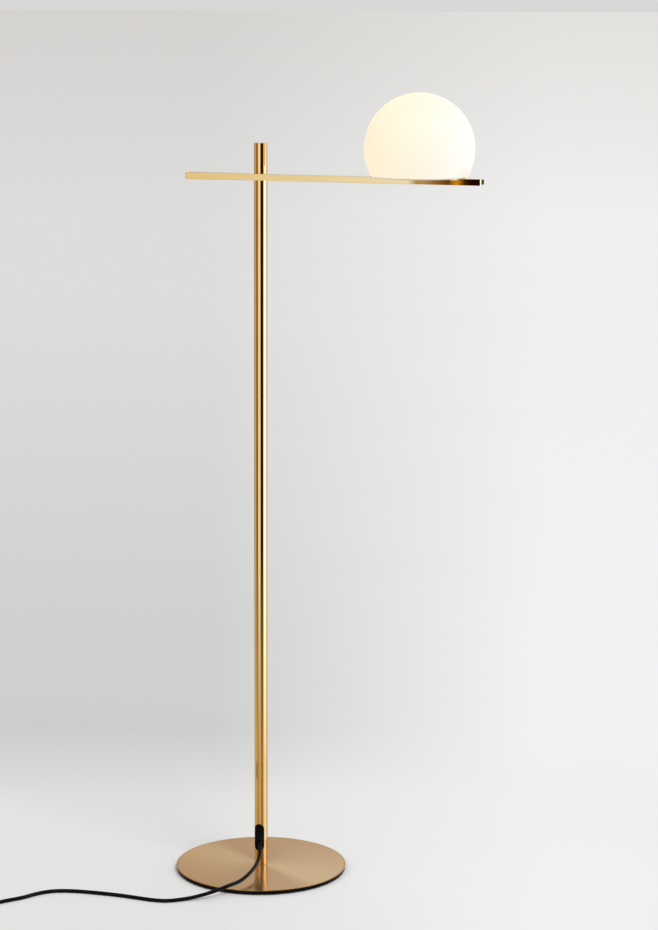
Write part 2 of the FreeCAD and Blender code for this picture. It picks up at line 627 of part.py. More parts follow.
def make_gallery():
    hollow_nipple("shade_nipple", nipple_radius, nipple_bore, NIPPLE_LENGTH,
                  on_globe_axis(bar_top - NIPPLE_DROP))
    ring_nut("shade_lower_nut", nipple_radius, LOWER_NUT_FLATS, LOWER_NUT_HEIGHT,
             on_globe_axis(bar_top - bar_wall - LOWER_NUT_HEIGHT))
    ring_nut("shade_upper_nut", nipple_radius, UPPER_NUT_FLATS, UPPER_NUT_HEIGHT, on_globe_axis(plate_top))

    plate = turned("gallery_plate", [
        (nipple_radius + 0.1, bar_top),
        (plate_radius, bar_top),
        (plate_radius, plate_top),
        (nipple_radius + 0.1, plate_top)])
    outline = attached_sketch(plate, "gallery_tab_outline", "XY_Plane")
    tab_root, tab_tip = plate_radius - 1, plate_radius + TAB_REACH
    draw_outline(outline, [
        (tab_root, -TAB_HALF_WIDTH), (tab_tip, -TAB_HALF_WIDTH),
        (tab_tip, TAB_HALF_WIDTH), (tab_root, TAB_HALF_WIDTH)])
    outline.AttachmentOffset = Placement(Vector(0, 0, bar_top.value), Rotation())
    outline.setExpression("AttachmentOffset.Base.z", bar_top.text)
    tab = plate.newObject("PartDesign::Pad", "gallery_tab")
    tab.Profile = outline
    bind(tab, "Length", plate_thickness)
    doc.recompute()
    repeat_round(plate, tab, len(TAB_ANGLES))

    vent_outline = attached_sketch(plate, "gallery_vent_outline", "XY_Plane")
    (near, far), (near_half, far_half) = VENT_REACH, VENT_HALF_WIDTH
    draw_outline(vent_outline, [(near, -near_half), (far, -far_half), (far, far_half), (near, near_half)])
    vent_outline.AttachmentOffset = Placement(Vector(0, 0, plate_top.value), Rotation())
    vent_outline.setExpression("AttachmentOffset.Base.z", plate_top.text)
    vent = plate.newObject("PartDesign::Pocket", "gallery_vent")
    vent.Profile = vent_outline
    vent.Type = "ThroughAll"
    doc.recompute()
    repeat_round(plate, vent, VENT_COUNT)
    place(plate, on_globe_axis(0), Rotation(Vector(0, 0, 1), TAB_ANGLES[0]))

    def sleeve(name):
        cover = block(name + "_cover", 4.4, 13.6, plate_thickness + sleeve_thickness * 2,
                      (plate_radius + 1.4, -6.8, bar_top - sleeve_thickness))
        tab_space = block(name + "_space", 4.2, 12.1, plate_thickness + 0.02,
                          (plate_radius + 1.1, -6.05, bar_top - 0.01))
        return cut(name, cover, tab_space)

    def clip(name):
        inner, rim = plate_radius - 18, plate_radius - 1.5
        body = extruded(name, [
            (inner, plate_top), (rim - 3, plate_top), (rim - 1.2, plate_top + 4.2),
            (rim + 1.2, plate_top + 9), (rim - 3, plate_top + 18), (rim - 3.8, plate_top + 17.6),
            (rim + 0.3, plate_top + 9), (rim - 2.1, plate_top + 4.5), (rim - 3.7, plate_top + CLIP_STRIP),
            (inner, plate_top + CLIP_STRIP)], CLIP_WIDTH, "XZ_Plane")
        body.Tip.Midplane = True
        return body

    def rivet(name):
        reach = plate_radius - RIVET_INSET
        head = cylinder(name + "_head", RIVET_HEAD, RIVET_HEAD_HEIGHT, (reach, 0, plate_top + CLIP_STRIP))
        shank = cylinder(name + "_shank", RIVET_SHANK, plate_thickness + CLIP_STRIP, (reach, 0, bar_top))
        return fuse(name, head, shank)

    group("shade_rest_sleeves", around_globe("rest_sleeve", sleeve, TAB_ANGLES))
    group("shade_clips", around_globe("clip", clip, CLIP_ANGLES))
    group("clip_rivets", around_globe("rivet", rivet, CLIP_ANGLES))


INSERT_BORE, INSERT_HEIGHT = 3.6, 4.0  # the lampholder's ceramic insert
HOLDER_MOUTH = 13.8
STRIP = 0.8  # thickness of the contact strips
BULB_CAP_HEIGHT = 25.5
BULB_BODY_HEIGHT = 14.0
DOME_SINK = 11.0  # how far the dome's centre lies above its edge


def make_lampholder_and_bulb():
    cap_top = holder_foot + holder_cap_height
    bore = holder_radius - HOLDER_WALL
    turned("holder_cap", [
        (nipple_radius + THREAD_FIT, 0), (holder_radius - 3, 0), (holder_radius, 3),
        (holder_radius, holder_cap_height), (bore, holder_cap_height),
        (bore, 3.5), (nipple_radius + THREAD_FIT, 3.5)], on_globe_axis(holder_foot))
    turned("holder_barrel", [
        (bore, 0), (holder_radius, 0), (holder_radius, holder_barrel_height - 2),
        (holder_radius - 1.5, holder_barrel_height), (HOLDER_MOUTH, holder_barrel_height),
        (HOLDER_MOUTH, holder_barrel_height - 2), (bore, holder_barrel_height - 3)],
        on_globe_axis(cap_top))
    insert = turned("holder_insert_blank", [
        (INSERT_BORE, 0), (bore - 0.1, 0), (bore - 0.1, INSERT_HEIGHT), (INSERT_BORE, INSERT_HEIGHT)],
        on_globe_axis(cap_top - INSERT_HEIGHT))
    cut("holder_insert", insert, block("insert_lead_way", 5, 8, 5, (
        globe_reach - 10, bar_axis - 4, cap_top - 4.5)))
    spring_y = bar_axis - 2.5
    spring_foot = block("contact_spring_foot", 12, 5, STRIP, (globe_reach + 3.7, spring_y, cap_top))
    spring_tongue = block("contact_spring_tongue", 15, 5, STRIP, (globe_reach - 4, spring_y, cap_top + 3.4))
    spring_riser = block("contact_spring_riser", STRIP, 5, 4.2, (globe_reach + 10.2, spring_y, cap_top))
    side_contact = block("contact_side_strip", STRIP, 6, 14, (globe_reach - 15.4, bar_axis - 3, cap_top))
    group("holder_contacts", [
        fuse("centre_contact", spring_foot, spring_tongue, spring_riser), side_contact])

    seat = cap_top + 4.2
    turned("bulb_cap", [
        (0, 0), (4, 0), (5, 1), (11.5, 3.5), (13, 4.5), (13, BULB_CAP_HEIGHT - 1.5),
        (11.6, BULB_CAP_HEIGHT), (0, BULB_CAP_HEIGHT)], on_globe_axis(seat))
    neck = seat + BULB_CAP_HEIGHT
    dome_edge = (number(bulb_radius) ** 2 - DOME_SINK ** 2) ** 0.5
    turned("bulb_body", [
        (0, 0), (13.4, 0), (14.5, 2), (dome_edge - 0.6, BULB_BODY_HEIGHT - 2),
        (dome_edge, BULB_BODY_HEIGHT), (0, BULB_BODY_HEIGHT)], on_globe_axis(neck))
    dome = doc.addObject("Part::Sphere", "bulb_dome")
    bind(dome, "Radius", bulb_radius)
    dome.Angle1 = -math.degrees(math.asin(DOME_SINK / number(bulb_radius)))
    place(dome, on_globe_axis(neck + BULB_BODY_HEIGHT + DOME_SINK))


def make_globe():
    drop = globe_middle - glass_foot
    outside = doc.addObject("Part::Sphere", "globe_outside")
    bind(outside, "Radius", globe_radius)
    outside.setExpression("Angle1", f"-asin({drop.text} / {globe_radius.text})")
    place(outside, on_globe_axis(globe_middle))
    inside = doc.addObject("Part::Sphere", "globe_inside")
    bind(inside, "Radius", globe_radius - glass_thickness)
    place(inside, on_globe_axis(globe_middle))
    cut("globe_glass", outside, inside)


# ---- leads and mains cord -----------------------------------------------------------------


def arc_radius(before, corner, after):
    """The largest radius that the two runs at a corner have room for."""
    first, second = corner - before, after - corner
    half_turn = first.getAngle(second) / 2
    return 0.45 * min(first.Length, second.Length) / math.tan(half_turn)


def rounded_path(points, radius=None):
    """Straight runs joined by tangent arcs, as one wire."""
    edges = []
    here = points[0]
    for before, corner, after in zip(points, points[1:], points[2:]):
        into = (corner - before).normalize()
        out_of = (after - corner).normalize()
        half_turn = into.getAngle(out_of) / 2
        bend = radius or arc_radius(before, corner, after)
        reach = bend * math.tan(half_turn)
        inward = (out_of - into).normalize()
        centre = corner + inward * (bend / math.cos(half_turn))
        arc_start, arc_end = corner - into * reach, corner + out_of * reach
        edges.append(Part.LineSegment(here, arc_start).toShape())
        edges.append(Part.Arc(arc_start, centre - inward * bend, arc_end).toShape())
        here = arc_end
    edges.append(Part.LineSegment(here, points[-1]).toShape())
    return Part.Wire(edges)


def tube_along(name, path, radius):
    """A round solid along a path. Its volume is its section times the path's length."""
    start = path.Edges[0].valueAt(path.Edges[0].FirstParameter)
    heading = path.Edges[0].tangentAt(path.Edges[0].FirstParameter)
    ring = Part.Wire([Part.Circle(start, heading, radius).toShape()])
    solid = path.makePipeShell([ring], True, False)
    if solid.Volume < 0:
        solid.reverse()
    expected = math.pi * radius ** 2 * path.Length
    print(f"{name}: {path.Length:.1f} mm long, volume {solid.Volume / expected:.4f} of the expected")
    item = doc.addObject("Part::Feature", name)
    item.Shape = solid
    return item


LEAD_RADIUS = 1.1
LEAD_OFFSET = 1.4  # the two leads lie this far each side of their common line
LEAD_BEND = 3.5
LEAD_SAG = 2.2  # how far below the bar's middle they lie in it


def make_leads():
    """The sheathed cord from the sleeve to the clamp, and the two leads on to the lampholder."""
    rise = SLEEVE_ROOT - EXIT_DIRECTION * 6
    sheath_points = [SLEEVE_ROOT, rise, Vector(0, CORD_BEHIND, 90), Vector(0, CORD_BEHIND, SHEATH_END)]
    tube_along("inner_cord", rounded_path(sheath_points), number(cord_radius) - 0.1)

    axis_y, middle_z = number(bar_axis), number(bar_middle)
    reach = number(globe_reach)
    top = number(holder_foot + holder_cap_height) - 1
    for name, offset in (("live_lead", LEAD_OFFSET), ("neutral_lead", -LEAD_OFFSET)):
        y_in_bar = axis_y + offset
        path = rounded_path([
            Vector(offset, CORD_BEHIND, SHEATH_END),
            Vector(offset, CORD_BEHIND, middle_z - 60),
            Vector(offset, 4, middle_z - 30),
            Vector(offset, 4, middle_z),
            Vector(offset, y_in_bar, middle_z),
            Vector(60, y_in_bar, middle_z - LEAD_SAG),
            Vector(reach - offset, y_in_bar, middle_z - LEAD_SAG),
            Vector(reach - offset, y_in_bar, top)], LEAD_BEND)
        tube_along(name, path, LEAD_RADIUS)


# The cord's route, chosen by hand: it falls from the sleeve over the base's rim and wanders
# over the floor to the foot switch.
LEAD_ROUTE = [
    CORD_EXIT, Vector(6.5, -27, 42.5), Vector(9.5, -39, 34.5), Vector(12, -60, 29),
    Vector(13.5, -91, 25.5), Vector(11, -123, 22.5), Vector(6, -148, 20), Vector(-5, -173, 20),
    Vector(-22, -191, 14.5), Vector(-42, -205, 9), Vector(-62, -218, 5), Vector(-80, -230, 3.5),
    Vector(-101, -245, 3.5), Vector(-126, -248.5, 3.5), Vector(-155, -246, 3.5),
    Vector(-196, -242, 3.5), Vector(-243, -242.5, 3.5), Vector(-290, -246, 3.5),
    Vector(-324, -257, 3.5), Vector(-346, -279, 3.5), Vector(-363, -311, 3.5),
    Vector(-388, -338, 3.5), Vector(-404, -362, 3.5), Vector(-424, -382, 4.2),
    Vector(-446, -392, 6.5), Vector(-466, -392, 6.5)]
# From the switch it turns round to the coil.
LINK_ROUTE = [
    Vector(-558, -392, 6.5), Vector(-574, -392, 6.5), Vector(-590.6, -385.1, 4.8),
    Vector(-603.3, -372.4, 3.8), Vector(-610.9, -356.1, 4), Vector(-614, -338.4, 4.8),
    Vector(-614, -324, 4.8)]
COIL_OUTER = 48.5  # radius of the coil's widest half turn
COIL_PITCH = 7.7  # from one turn to the next beside it
COIL_RISE = 7.6  # from the lower layer to the upper
SPIRAL_IN = (1, 2, 3, 4)  # each half turn's place, counted inwards from the widest
REVERSAL = (5,)
SPIRAL_OUT = (4, 3, 2, 1, 0)
TIE_WIDTH, TIE_STRAP, TIE_PLAY = 10.0, 1.1, 0.9
TIE_ABOVE_FLOOR = 0.1
TIE_ABOVE_CORD = 0.2


def biarc(start, start_heading, end, end_heading):
    """Two arcs that join two points and keep both headings."""
    span = end - start
    reach = span.Length / 2 if start_heading.dot(end_heading) < -0.999 else span.Length / 2.4
    meeting = (start + start_heading * reach + end - end_heading * reach) * 0.5
    return [arc_from(start, start_heading, meeting), arc_from(end, -end_heading, meeting)]


def arc_from(start, heading, end):
    """The arc that leaves a point along a heading and reaches another point."""
    chord = end - start
    sideways = chord - heading * chord.dot(heading)
    sideways.normalize()
    radius = chord.dot(chord) / (2 * chord.dot(sideways))
    centre = start + sideways * radius
    bulge = ((start + end) * 0.5 - centre).normalize()
    return Part.Arc(start, centre + bulge * radius, end).toShape()


def coil_path():
    """The coil's centre line: in along the lower layer, up, and out along the upper one."""
    diameter = 2 * number(cord_radius)
    entry = LINK_ROUTE[-1]
    here = entry + Vector(0, diameter, 0)
    heading = Vector(0, 1, 0)
    edges = [Part.LineSegment(entry, here).toShape()]
    for place_in in SPIRAL_IN + REVERSAL + SPIRAL_OUT:
        radius = COIL_OUTER - place_in * COIL_PITCH / 2
        rise = COIL_RISE if place_in in REVERSAL else 0
        there = here + Vector(2 * radius * heading.y, 0, rise)
        edges += biarc(here, heading, there, -heading)
        here, heading = there, -heading
    leaving = here + heading * diameter
    edges.append(Part.LineSegment(here, leaving).toShape())
    return Part.Wire(Part.__sortEdges__(edges)), leaving


def least_gap(path, diameter):
    """The least clear distance between two turns, measured on points along the path."""
    count = 700
    points = path.discretize(Number=count)
    apart = int(count * 4 * diameter / path.Length)
    closest = min((points[i] - points[j]).Length
                  for i in range(count) for j in range(i + apart, count))
    return closest - diameter


def make_cord():
    diameter = 2 * number(cord_radius)
    coil, coil_end = coil_path()
    tail_route = [
        coil_end, coil_end + Vector(0, 16, 0), coil_end + Vector(3.7, 33, -2.8),
        coil_end + Vector(10.7, 49, -4.9), coil_end + Vector(18.7, 64, -4.9)]
    for name, route in (("power_cord_lead", LEAD_ROUTE), ("power_cord_link", LINK_ROUTE),
                        ("power_cord_tail", tail_route)):
        tube_along(name, rounded_path(route), number(cord_radius))
        radii = [arc_radius(*corner) for corner in zip(route, route[1:], route[2:])]
        print(f"{name}: bend radii {', '.join(f'{r:.0f}' for r in radii)} mm")
    tube_along("power_cord_coil", coil, number(cord_radius))
    print(f"power_cord_coil: least gap between turns {least_gap(coil, diameter):.2f} mm")

    entry = LINK_ROUTE[-1]
    widest = COIL_OUTER - COIL_PITCH / 2
    centre_x, centre_y = entry.x + widest, entry.y + diameter
    tightest = COIL_OUTER - REVERSAL[0] * COIL_PITCH / 2
    space_start = centre_x + tightest - number(cord_radius) - TIE_PLAY
    space_length = centre_x + widest + number(cord_radius) + TIE_PLAY - space_start
    space_top = entry.z + COIL_RISE + number(cord_radius) + TIE_ABOVE_CORD
    outer = block("tie_outside", space_length + 2 * TIE_STRAP, TIE_WIDTH,
                  space_top + TIE_STRAP - TIE_ABOVE_FLOOR,
                  (space_start - TIE_STRAP, centre_y - TIE_WIDTH / 2, TIE_ABOVE_FLOOR))
    inner = block("tie_inside", space_length, TIE_WIDTH + 2, space_top - TIE_ABOVE_FLOOR - TIE_STRAP,
                  (space_start, centre_y - TIE_WIDTH / 2 - 1, TIE_ABOVE_FLOOR + TIE_STRAP))
    cut("coil_tie", outer, inner)
    return tail_route


# ---- foot switch --------------------------------------------------------------------------

SWITCH_AT = (-512, -392, 0)  # middle of the switch's footprint
SWITCH_RELIEF = 14.0
SWITCH_FOOT = 1.2
SWITCH_SPLIT = 10.0  # height of the seam between the two shells
SHELL_WALL = 2.0
SHELL_CORNER = 12.0  # rounding of the housing's upright edges
COVER_ROUND = 5.0  # rounding of the cover's top edge
LOWER_SPACE_HEIGHT = 8.0
FLANGE, FLANGE_HEIGHT = 1.6, 1.9  # a flange under the cover keeps the button in
BUTTON_PROUD = 3.4
RELIEF_RADIUS, RELIEF_TIP_RADIUS, RELIEF_HEIGHT = 5.2, 4.2, 6.5
SPRING_RADIUS, SPRING_BORE = 5.0, 4.0
CONTACT_LENGTH, CONTACT_WIDTH, CONTACT_HEIGHT = 40.0, 16.0, 2.0
TERMINAL = (6.0, 7.0, 5.0)
FOOT_RADIUS, FOOT_X, FOOT_Y = 4.0, 24.0, 12.0
HEAD_RADIUS, HEAD_HEIGHT, SHANK_RADIUS, SHANK_LENGTH, SCREW_X = 1.9, 1.0, 1.1, 8.0, 27.0


def at_switch(x, y, z):
    return (SWITCH_AT[0] + x, SWITCH_AT[1] + y, z)


def make_switch():
    half = switch_length / 2
    lower = rounded_slab("switch_lower_outside", switch_length, switch_width,
                         SWITCH_SPLIT - SWITCH_FOOT, SHELL_CORNER, 0, at_switch(0, 0, SWITCH_FOOT))
    lower_space = middle_block("switch_lower_space", switch_length - 2 * SHELL_WALL - 5,
                               switch_width - 2 * SHELL_WALL - 5, LOWER_SPACE_HEIGHT,
                               at_switch(0, 0, SWITCH_FOOT + SHELL_WALL + LOWER_SPACE_HEIGHT / 2))
    cut("switch_base", lower, lower_space)

    cover_height = switch_height - SWITCH_SPLIT
    upper = rounded_slab("switch_upper_outside", switch_length, switch_width, cover_height,
                         SHELL_CORNER, COVER_ROUND, at_switch(0, 0, SWITCH_SPLIT))
    upper_space = middle_block("switch_upper_space", switch_length - 2 * SHELL_WALL - 7,
                               switch_width - 2 * SHELL_WALL - 7, cover_height - SHELL_WALL,
                               at_switch(0, 0, SWITCH_SPLIT + (cover_height - SHELL_WALL) / 2))
    button_hole = cylinder("switch_button_hole", button_radius + 0.3, 30, at_switch(0, 0, SWITCH_SPLIT))
    cut("switch_cover", upper, upper_space, button_hole)

    button_foot = switch_height - SHELL_WALL - 2
    button_top = switch_height + BUTTON_PROUD
    turned("switch_button", [
        (0, button_foot), (button_radius + FLANGE, button_foot),
        (button_radius + FLANGE, button_foot + FLANGE_HEIGHT), (button_radius, button_foot + FLANGE_HEIGHT),
        (button_radius, button_top - 1.4), (button_radius - 2, button_top - 0.4),
        (button_radius - 6, button_top), (0, button_top)], at_switch(0, 0, 0))
    floor = SWITCH_FOOT + SHELL_WALL
    contact_top = floor + CONTACT_HEIGHT
    spring_blank = cylinder("switch_spring_outside", SPRING_RADIUS, button_foot - contact_top,
                            at_switch(0, 0, contact_top))
    spring_bore = cylinder("switch_spring_bore", SPRING_BORE, 30, at_switch(0, 0, contact_top))
    cut("switch_spring", spring_blank, spring_bore)
    block("switch_contact_block", CONTACT_LENGTH, CONTACT_WIDTH, CONTACT_HEIGHT,
          at_switch(-CONTACT_LENGTH / 2, -CONTACT_WIDTH / 2, floor))
    group("switch_terminals", [
        block(f"terminal_{i}", *TERMINAL, at_switch(x, -TERMINAL[1] / 2, contact_top))
        for i, x in enumerate((-CONTACT_LENGTH / 2, CONTACT_LENGTH / 2 - TERMINAL[0]))])
    for side, sign in (("inlet", 1), ("outlet", -1)):
        turn = Rotation(Vector(0, 1, 0), 90 * sign)
        cone(f"switch_{side}_relief", RELIEF_RADIUS, RELIEF_TIP_RADIUS, SWITCH_RELIEF,
             at_switch(half * sign, 0, RELIEF_HEIGHT), turn)
    corners = [(x, y) for x in (-FOOT_X, FOOT_X) for y in (-FOOT_Y, FOOT_Y)]
    group("switch_feet", [cylinder(f"switch_foot_{i}", FOOT_RADIUS, SWITCH_FOOT, at_switch(x, y, 0))
                          for i, (x, y) in enumerate(corners)])
    screws = []
    for i, x in enumerate((-SCREW_X, SCREW_X)):
        head = cylinder(f"switch_screw_head_{i}", HEAD_RADIUS, HEAD_HEIGHT,
                        at_switch(x, 0, SWITCH_FOOT - 0.4))
        shank = cylinder(f"switch_screw_shank_{i}", SHANK_RADIUS, SHANK_LENGTH,
                         at_switch(x, 0, SWITCH_FOOT))
        screws.append(fuse(f"switch_screw_{i}", head, shank))
    group("switch_screws", screws)


# ---- mains plug ---------------------------------------------------------------------------

PLUG_RELIEF_LENGTH = 20.0
PLUG_NECK_LENGTH = 16.0  # over which the body widens
PLUG_BODY_LENGTH = 38.0
PLUG_NECK_HALF_WIDTH = 9.0
PLUG_CORNER = 3.0
PLUG_RELIEF_TIP, PLUG_RELIEF_ROOT = 4.3, 6.0  # radii of the relief at the cord and at the body
PLUG_PIN_RADIUS, PLUG_PIN_LENGTH, PLUG_PIN_OFFSET = 2.0, 19.0, 9.5


def make_plug(tail_route):
    """The plug lies flat, in line with the cord's last run. Its own +X points at its pins."""
    tip = tail_route[-1]
    heading = (tip - tail_route[-2]).normalize()
    turn = Rotation(Vector(1, 0, 0), heading)

    def at_plug(x, y, z):
        return tuple(tip + turn.multVec(Vector(x, y, z)))

    half = plug_width / 2
    shoulder = PLUG_RELIEF_LENGTH + PLUG_NECK_LENGTH
    face = PLUG_RELIEF_LENGTH + PLUG_BODY_LENGTH
    body = extruded("plug_body", [
        (PLUG_RELIEF_LENGTH, -PLUG_NECK_HALF_WIDTH), (shoulder, -half), (face, -half),
        (face, half), (shoulder, half), (PLUG_RELIEF_LENGTH, PLUG_NECK_HALF_WIDTH)], plug_depth)
    soften(body, "Fillet", PLUG_CORNER, lambda e: runs_along(e, Vector(0, 0, 1)))
    place(body, at_plug(0, 0, -number(plug_depth) / 2), turn)
    cone("plug_relief", PLUG_RELIEF_TIP, PLUG_RELIEF_ROOT, PLUG_RELIEF_LENGTH, at_plug(0, 0, 0),
         turn * FACING_RIGHT)
    group("plug_pins", [
        cylinder(f"plug_pin_{i}", PLUG_PIN_RADIUS, PLUG_PIN_LENGTH, at_plug(face, y, 0),
                 turn * FACING_RIGHT)
        for i, y in enumerate((-PLUG_PIN_OFFSET, PLUG_PIN_OFFSET))])


# ---- the whole lamp -----------------------------------------------------------------------

NODES = (
    "base_pad", "base_weight", "base_cover", "base_bolt", "locating_pin",
    "foot_plug", "upright_tube", "upright_top_cap",
    "cord_grommet", "strain_relief", "cord_clamp", "clamp_screw", "inner_cord",
    "live_lead", "neutral_lead",
    "arm_saddle", "arm_nipple", "arm_washer", "arm_nut", "arm_insert", "arm_bar",
    "bar_end_cap_left", "bar_end_cap_right",
    "shade_nipple", "shade_lower_nut", "gallery_plate", "shade_upper_nut",
    "shade_rest_sleeves", "shade_clips", "clip_rivets",
    "holder_cap", "holder_barrel", "holder_insert", "holder_contacts",
    "bulb_cap", "bulb_body", "bulb_dome", "globe_glass",
    "power_cord_lead", "switch_base", "switch_cover", "switch_button", "switch_spring",
    "switch_contact_block", "switch_terminals", "switch_inlet_relief", "switch_outlet_relief",
    "switch_feet", "switch_screws",
    "power_cord_link", "power_cord_coil", "coil_tie", "power_cord_tail",
    "plug_relief", "plug_body", "plug_pins")

make_base()
make_upright()
make_cord_entry()
make_bar()
make_gallery()
make_lampholder_and_bulb()
make_globe()
make_leads()
make_switch()
make_plug(make_cord())
doc.recompute()

failed = [item.Name for item in doc.Objects if "Invalid" in item.State or "Error" in item.State]
for node in NODES:
    shape = doc.getObject(node).Shape
    if shape.isNull() or not shape.isValid() or not shape.Solids:
        failed.append(node)
if failed:
    raise RuntimeError("these objects failed: " + ", ".join(failed))

os.makedirs("parts", exist_ok=True)
for node in NODES:
    doc.getObject(node).Label = node
    doc.getObject(node).Shape.exportStep(f"parts/{node}.step")
print(f"{len(NODES)} sub-parts written")
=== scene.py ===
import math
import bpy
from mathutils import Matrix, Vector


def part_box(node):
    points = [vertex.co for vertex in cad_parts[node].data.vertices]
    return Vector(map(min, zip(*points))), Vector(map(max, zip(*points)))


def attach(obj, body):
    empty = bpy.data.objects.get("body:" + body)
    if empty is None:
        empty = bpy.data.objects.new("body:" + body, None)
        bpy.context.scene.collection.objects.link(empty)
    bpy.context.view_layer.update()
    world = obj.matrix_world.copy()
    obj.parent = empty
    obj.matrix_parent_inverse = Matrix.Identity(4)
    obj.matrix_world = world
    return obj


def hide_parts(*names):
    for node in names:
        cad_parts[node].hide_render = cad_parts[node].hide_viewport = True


bl_info = {
    "name": "Globe floor lamp",
    "version": (1, 0, 0),
    "blender": (4, 5, 0),
    "location": "3D View > Sidebar > Floor lamp",
    "description": "Finishes a brass floor lamp with an opal globe, lays its cord and lights it",
    "category": "Object",
}

import bpy
from bpy.props import FloatProperty, FloatVectorProperty, PointerProperty
from mathutils import Matrix, Vector

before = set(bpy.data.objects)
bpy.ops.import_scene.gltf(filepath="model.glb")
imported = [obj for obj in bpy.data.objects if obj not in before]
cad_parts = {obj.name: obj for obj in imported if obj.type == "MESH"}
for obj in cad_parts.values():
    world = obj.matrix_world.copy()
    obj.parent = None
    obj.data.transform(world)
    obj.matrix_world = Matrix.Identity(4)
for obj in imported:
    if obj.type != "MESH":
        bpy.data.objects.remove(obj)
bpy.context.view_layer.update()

# Metres, +Z up. The origin is the centre of the base's underside, on the upright's axis. +X
# points along the bar's long arm, and -Y is the front.

BASE_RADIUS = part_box("base_cover")[1].x
GLOBE_LOW, GLOBE_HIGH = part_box("globe_glass")
GLOBE_RADIUS = (GLOBE_HIGH.x - GLOBE_LOW.x) / 2
GLOBE_MIDDLE = Vector((GLOBE_HIGH.x - GLOBE_RADIUS, GLOBE_HIGH.y - GLOBE_RADIUS,
                       GLOBE_HIGH.z - GLOBE_RADIUS))


# ---- what a user would change ------------------------------------------------------------


def colour(name, description, default):
    """A colour that a user can change."""
    return FloatVectorProperty(name=name, description=description, default=default,
                               size=3, min=0, max=1, subtype="COLOR")


class BrassSettings(bpy.types.PropertyGroup):
    """The brass finishes, and the painted fans of highlight and the rim of the turned base."""

    polished: colour("Polished brass", "Colour of the upright", (0.80, 0.53, 0.19))
    brushed: colour("Brushed brass", "Colour of the base cover", (0.57, 0.32, 0.134))
    # The fans are a painted highlight on the base cover.
    painted_fan: colour("Fans", "Colour of the two fans of light on the base cover", (0.73, 0.48, 0.24))
    rim: colour("Rim", "Colour of the base cover's edge", (0.50, 0.24, 0.06))
    bar: colour("Bar brass", "Colour of the cross bar", (0.76, 0.49, 0.19))
    polish: FloatProperty(name="Polish", description="Roughness of the polished brass",
                          default=0.05, min=0.01, max=0.5, subtype="FACTOR")


class CordSettings(bpy.types.PropertyGroup):
    """The mains cord."""

    thickness: FloatProperty(name="Thickness", description="Diameter of the cord",
                             default=0.007, min=0.004, max=0.01, unit="LENGTH")
    sheath: colour("Sheath", "Colour of the cord and the rubber parts", (0.004, 0.004, 0.0045))


class GlobeSettings(bpy.types.PropertyGroup):
    """The lit globe."""

    glass: colour("Opal glass", "Colour of the glass when it isn't lit", (0.36, 0.355, 0.34))
    # Painted light and shade on the lit globe: the glow of its shaded side and that of its lit
    # side.
    shaded_side_glow: colour("Warm side", "Glow on the globe's shaded side", (0.72, 0.62, 0.42))
    lit_side_glow: colour("Bright side", "Glow on the globe's other side", (0.64, 0.62, 0.55))


class StudioSettings(bpy.types.PropertyGroup):
    """The floor, the lights and the panels that the brass mirrors."""

    floor: colour("Floor", "Colour of the floor", (0.88, 0.88, 0.875))
    surroundings: FloatProperty(name="Surroundings", description="Light from all sides",
                                default=0.62, min=0, max=2)
    key: FloatProperty(name="Key light", description="Strength of the soft light from the right",
                       default=1.2, min=0, max=5)


# ---- shader maths ------------------------------------------------------------------------


def find_socket(sockets, key):
    """A node's socket by its place, its identifier or its name."""
    if isinstance(key, int):
        return sockets[key]
    for socket in sockets:
        if socket.identifier == key:
            return socket
    return sockets[key]


class Signal:
    """A value on its way through a material. Arithmetic on it adds Math nodes."""

    def __init__(self, finish, socket):
        self.finish = finish
        self.socket = socket

    def maths(self, operation, first, second=0.0):
        """Any operation of a Math node on two values."""
        return self.finish.add("ShaderNodeMath", {"operation": operation}, {0: first, 1: second})

    def __add__(self, other):
        return self.maths("ADD", self, other)

    def __sub__(self, other):
        return self.maths("SUBTRACT", self, other)

    def __rsub__(self, other):
        return self.maths("SUBTRACT", other, self)

    def __mul__(self, other):
        return self.maths("MULTIPLY", self, other)

    def __truediv__(self, other):
        return self.maths("DIVIDE", self, other)

    def __rtruediv__(self, other):
        return self.maths("DIVIDE", other, self)

    def __pow__(self, other):
        return self.maths("POWER", self, other)

    def __rpow__(self, other):
        return self.maths("POWER", other, self)

    __radd__ = __add__
    __rmul__ = __mul__


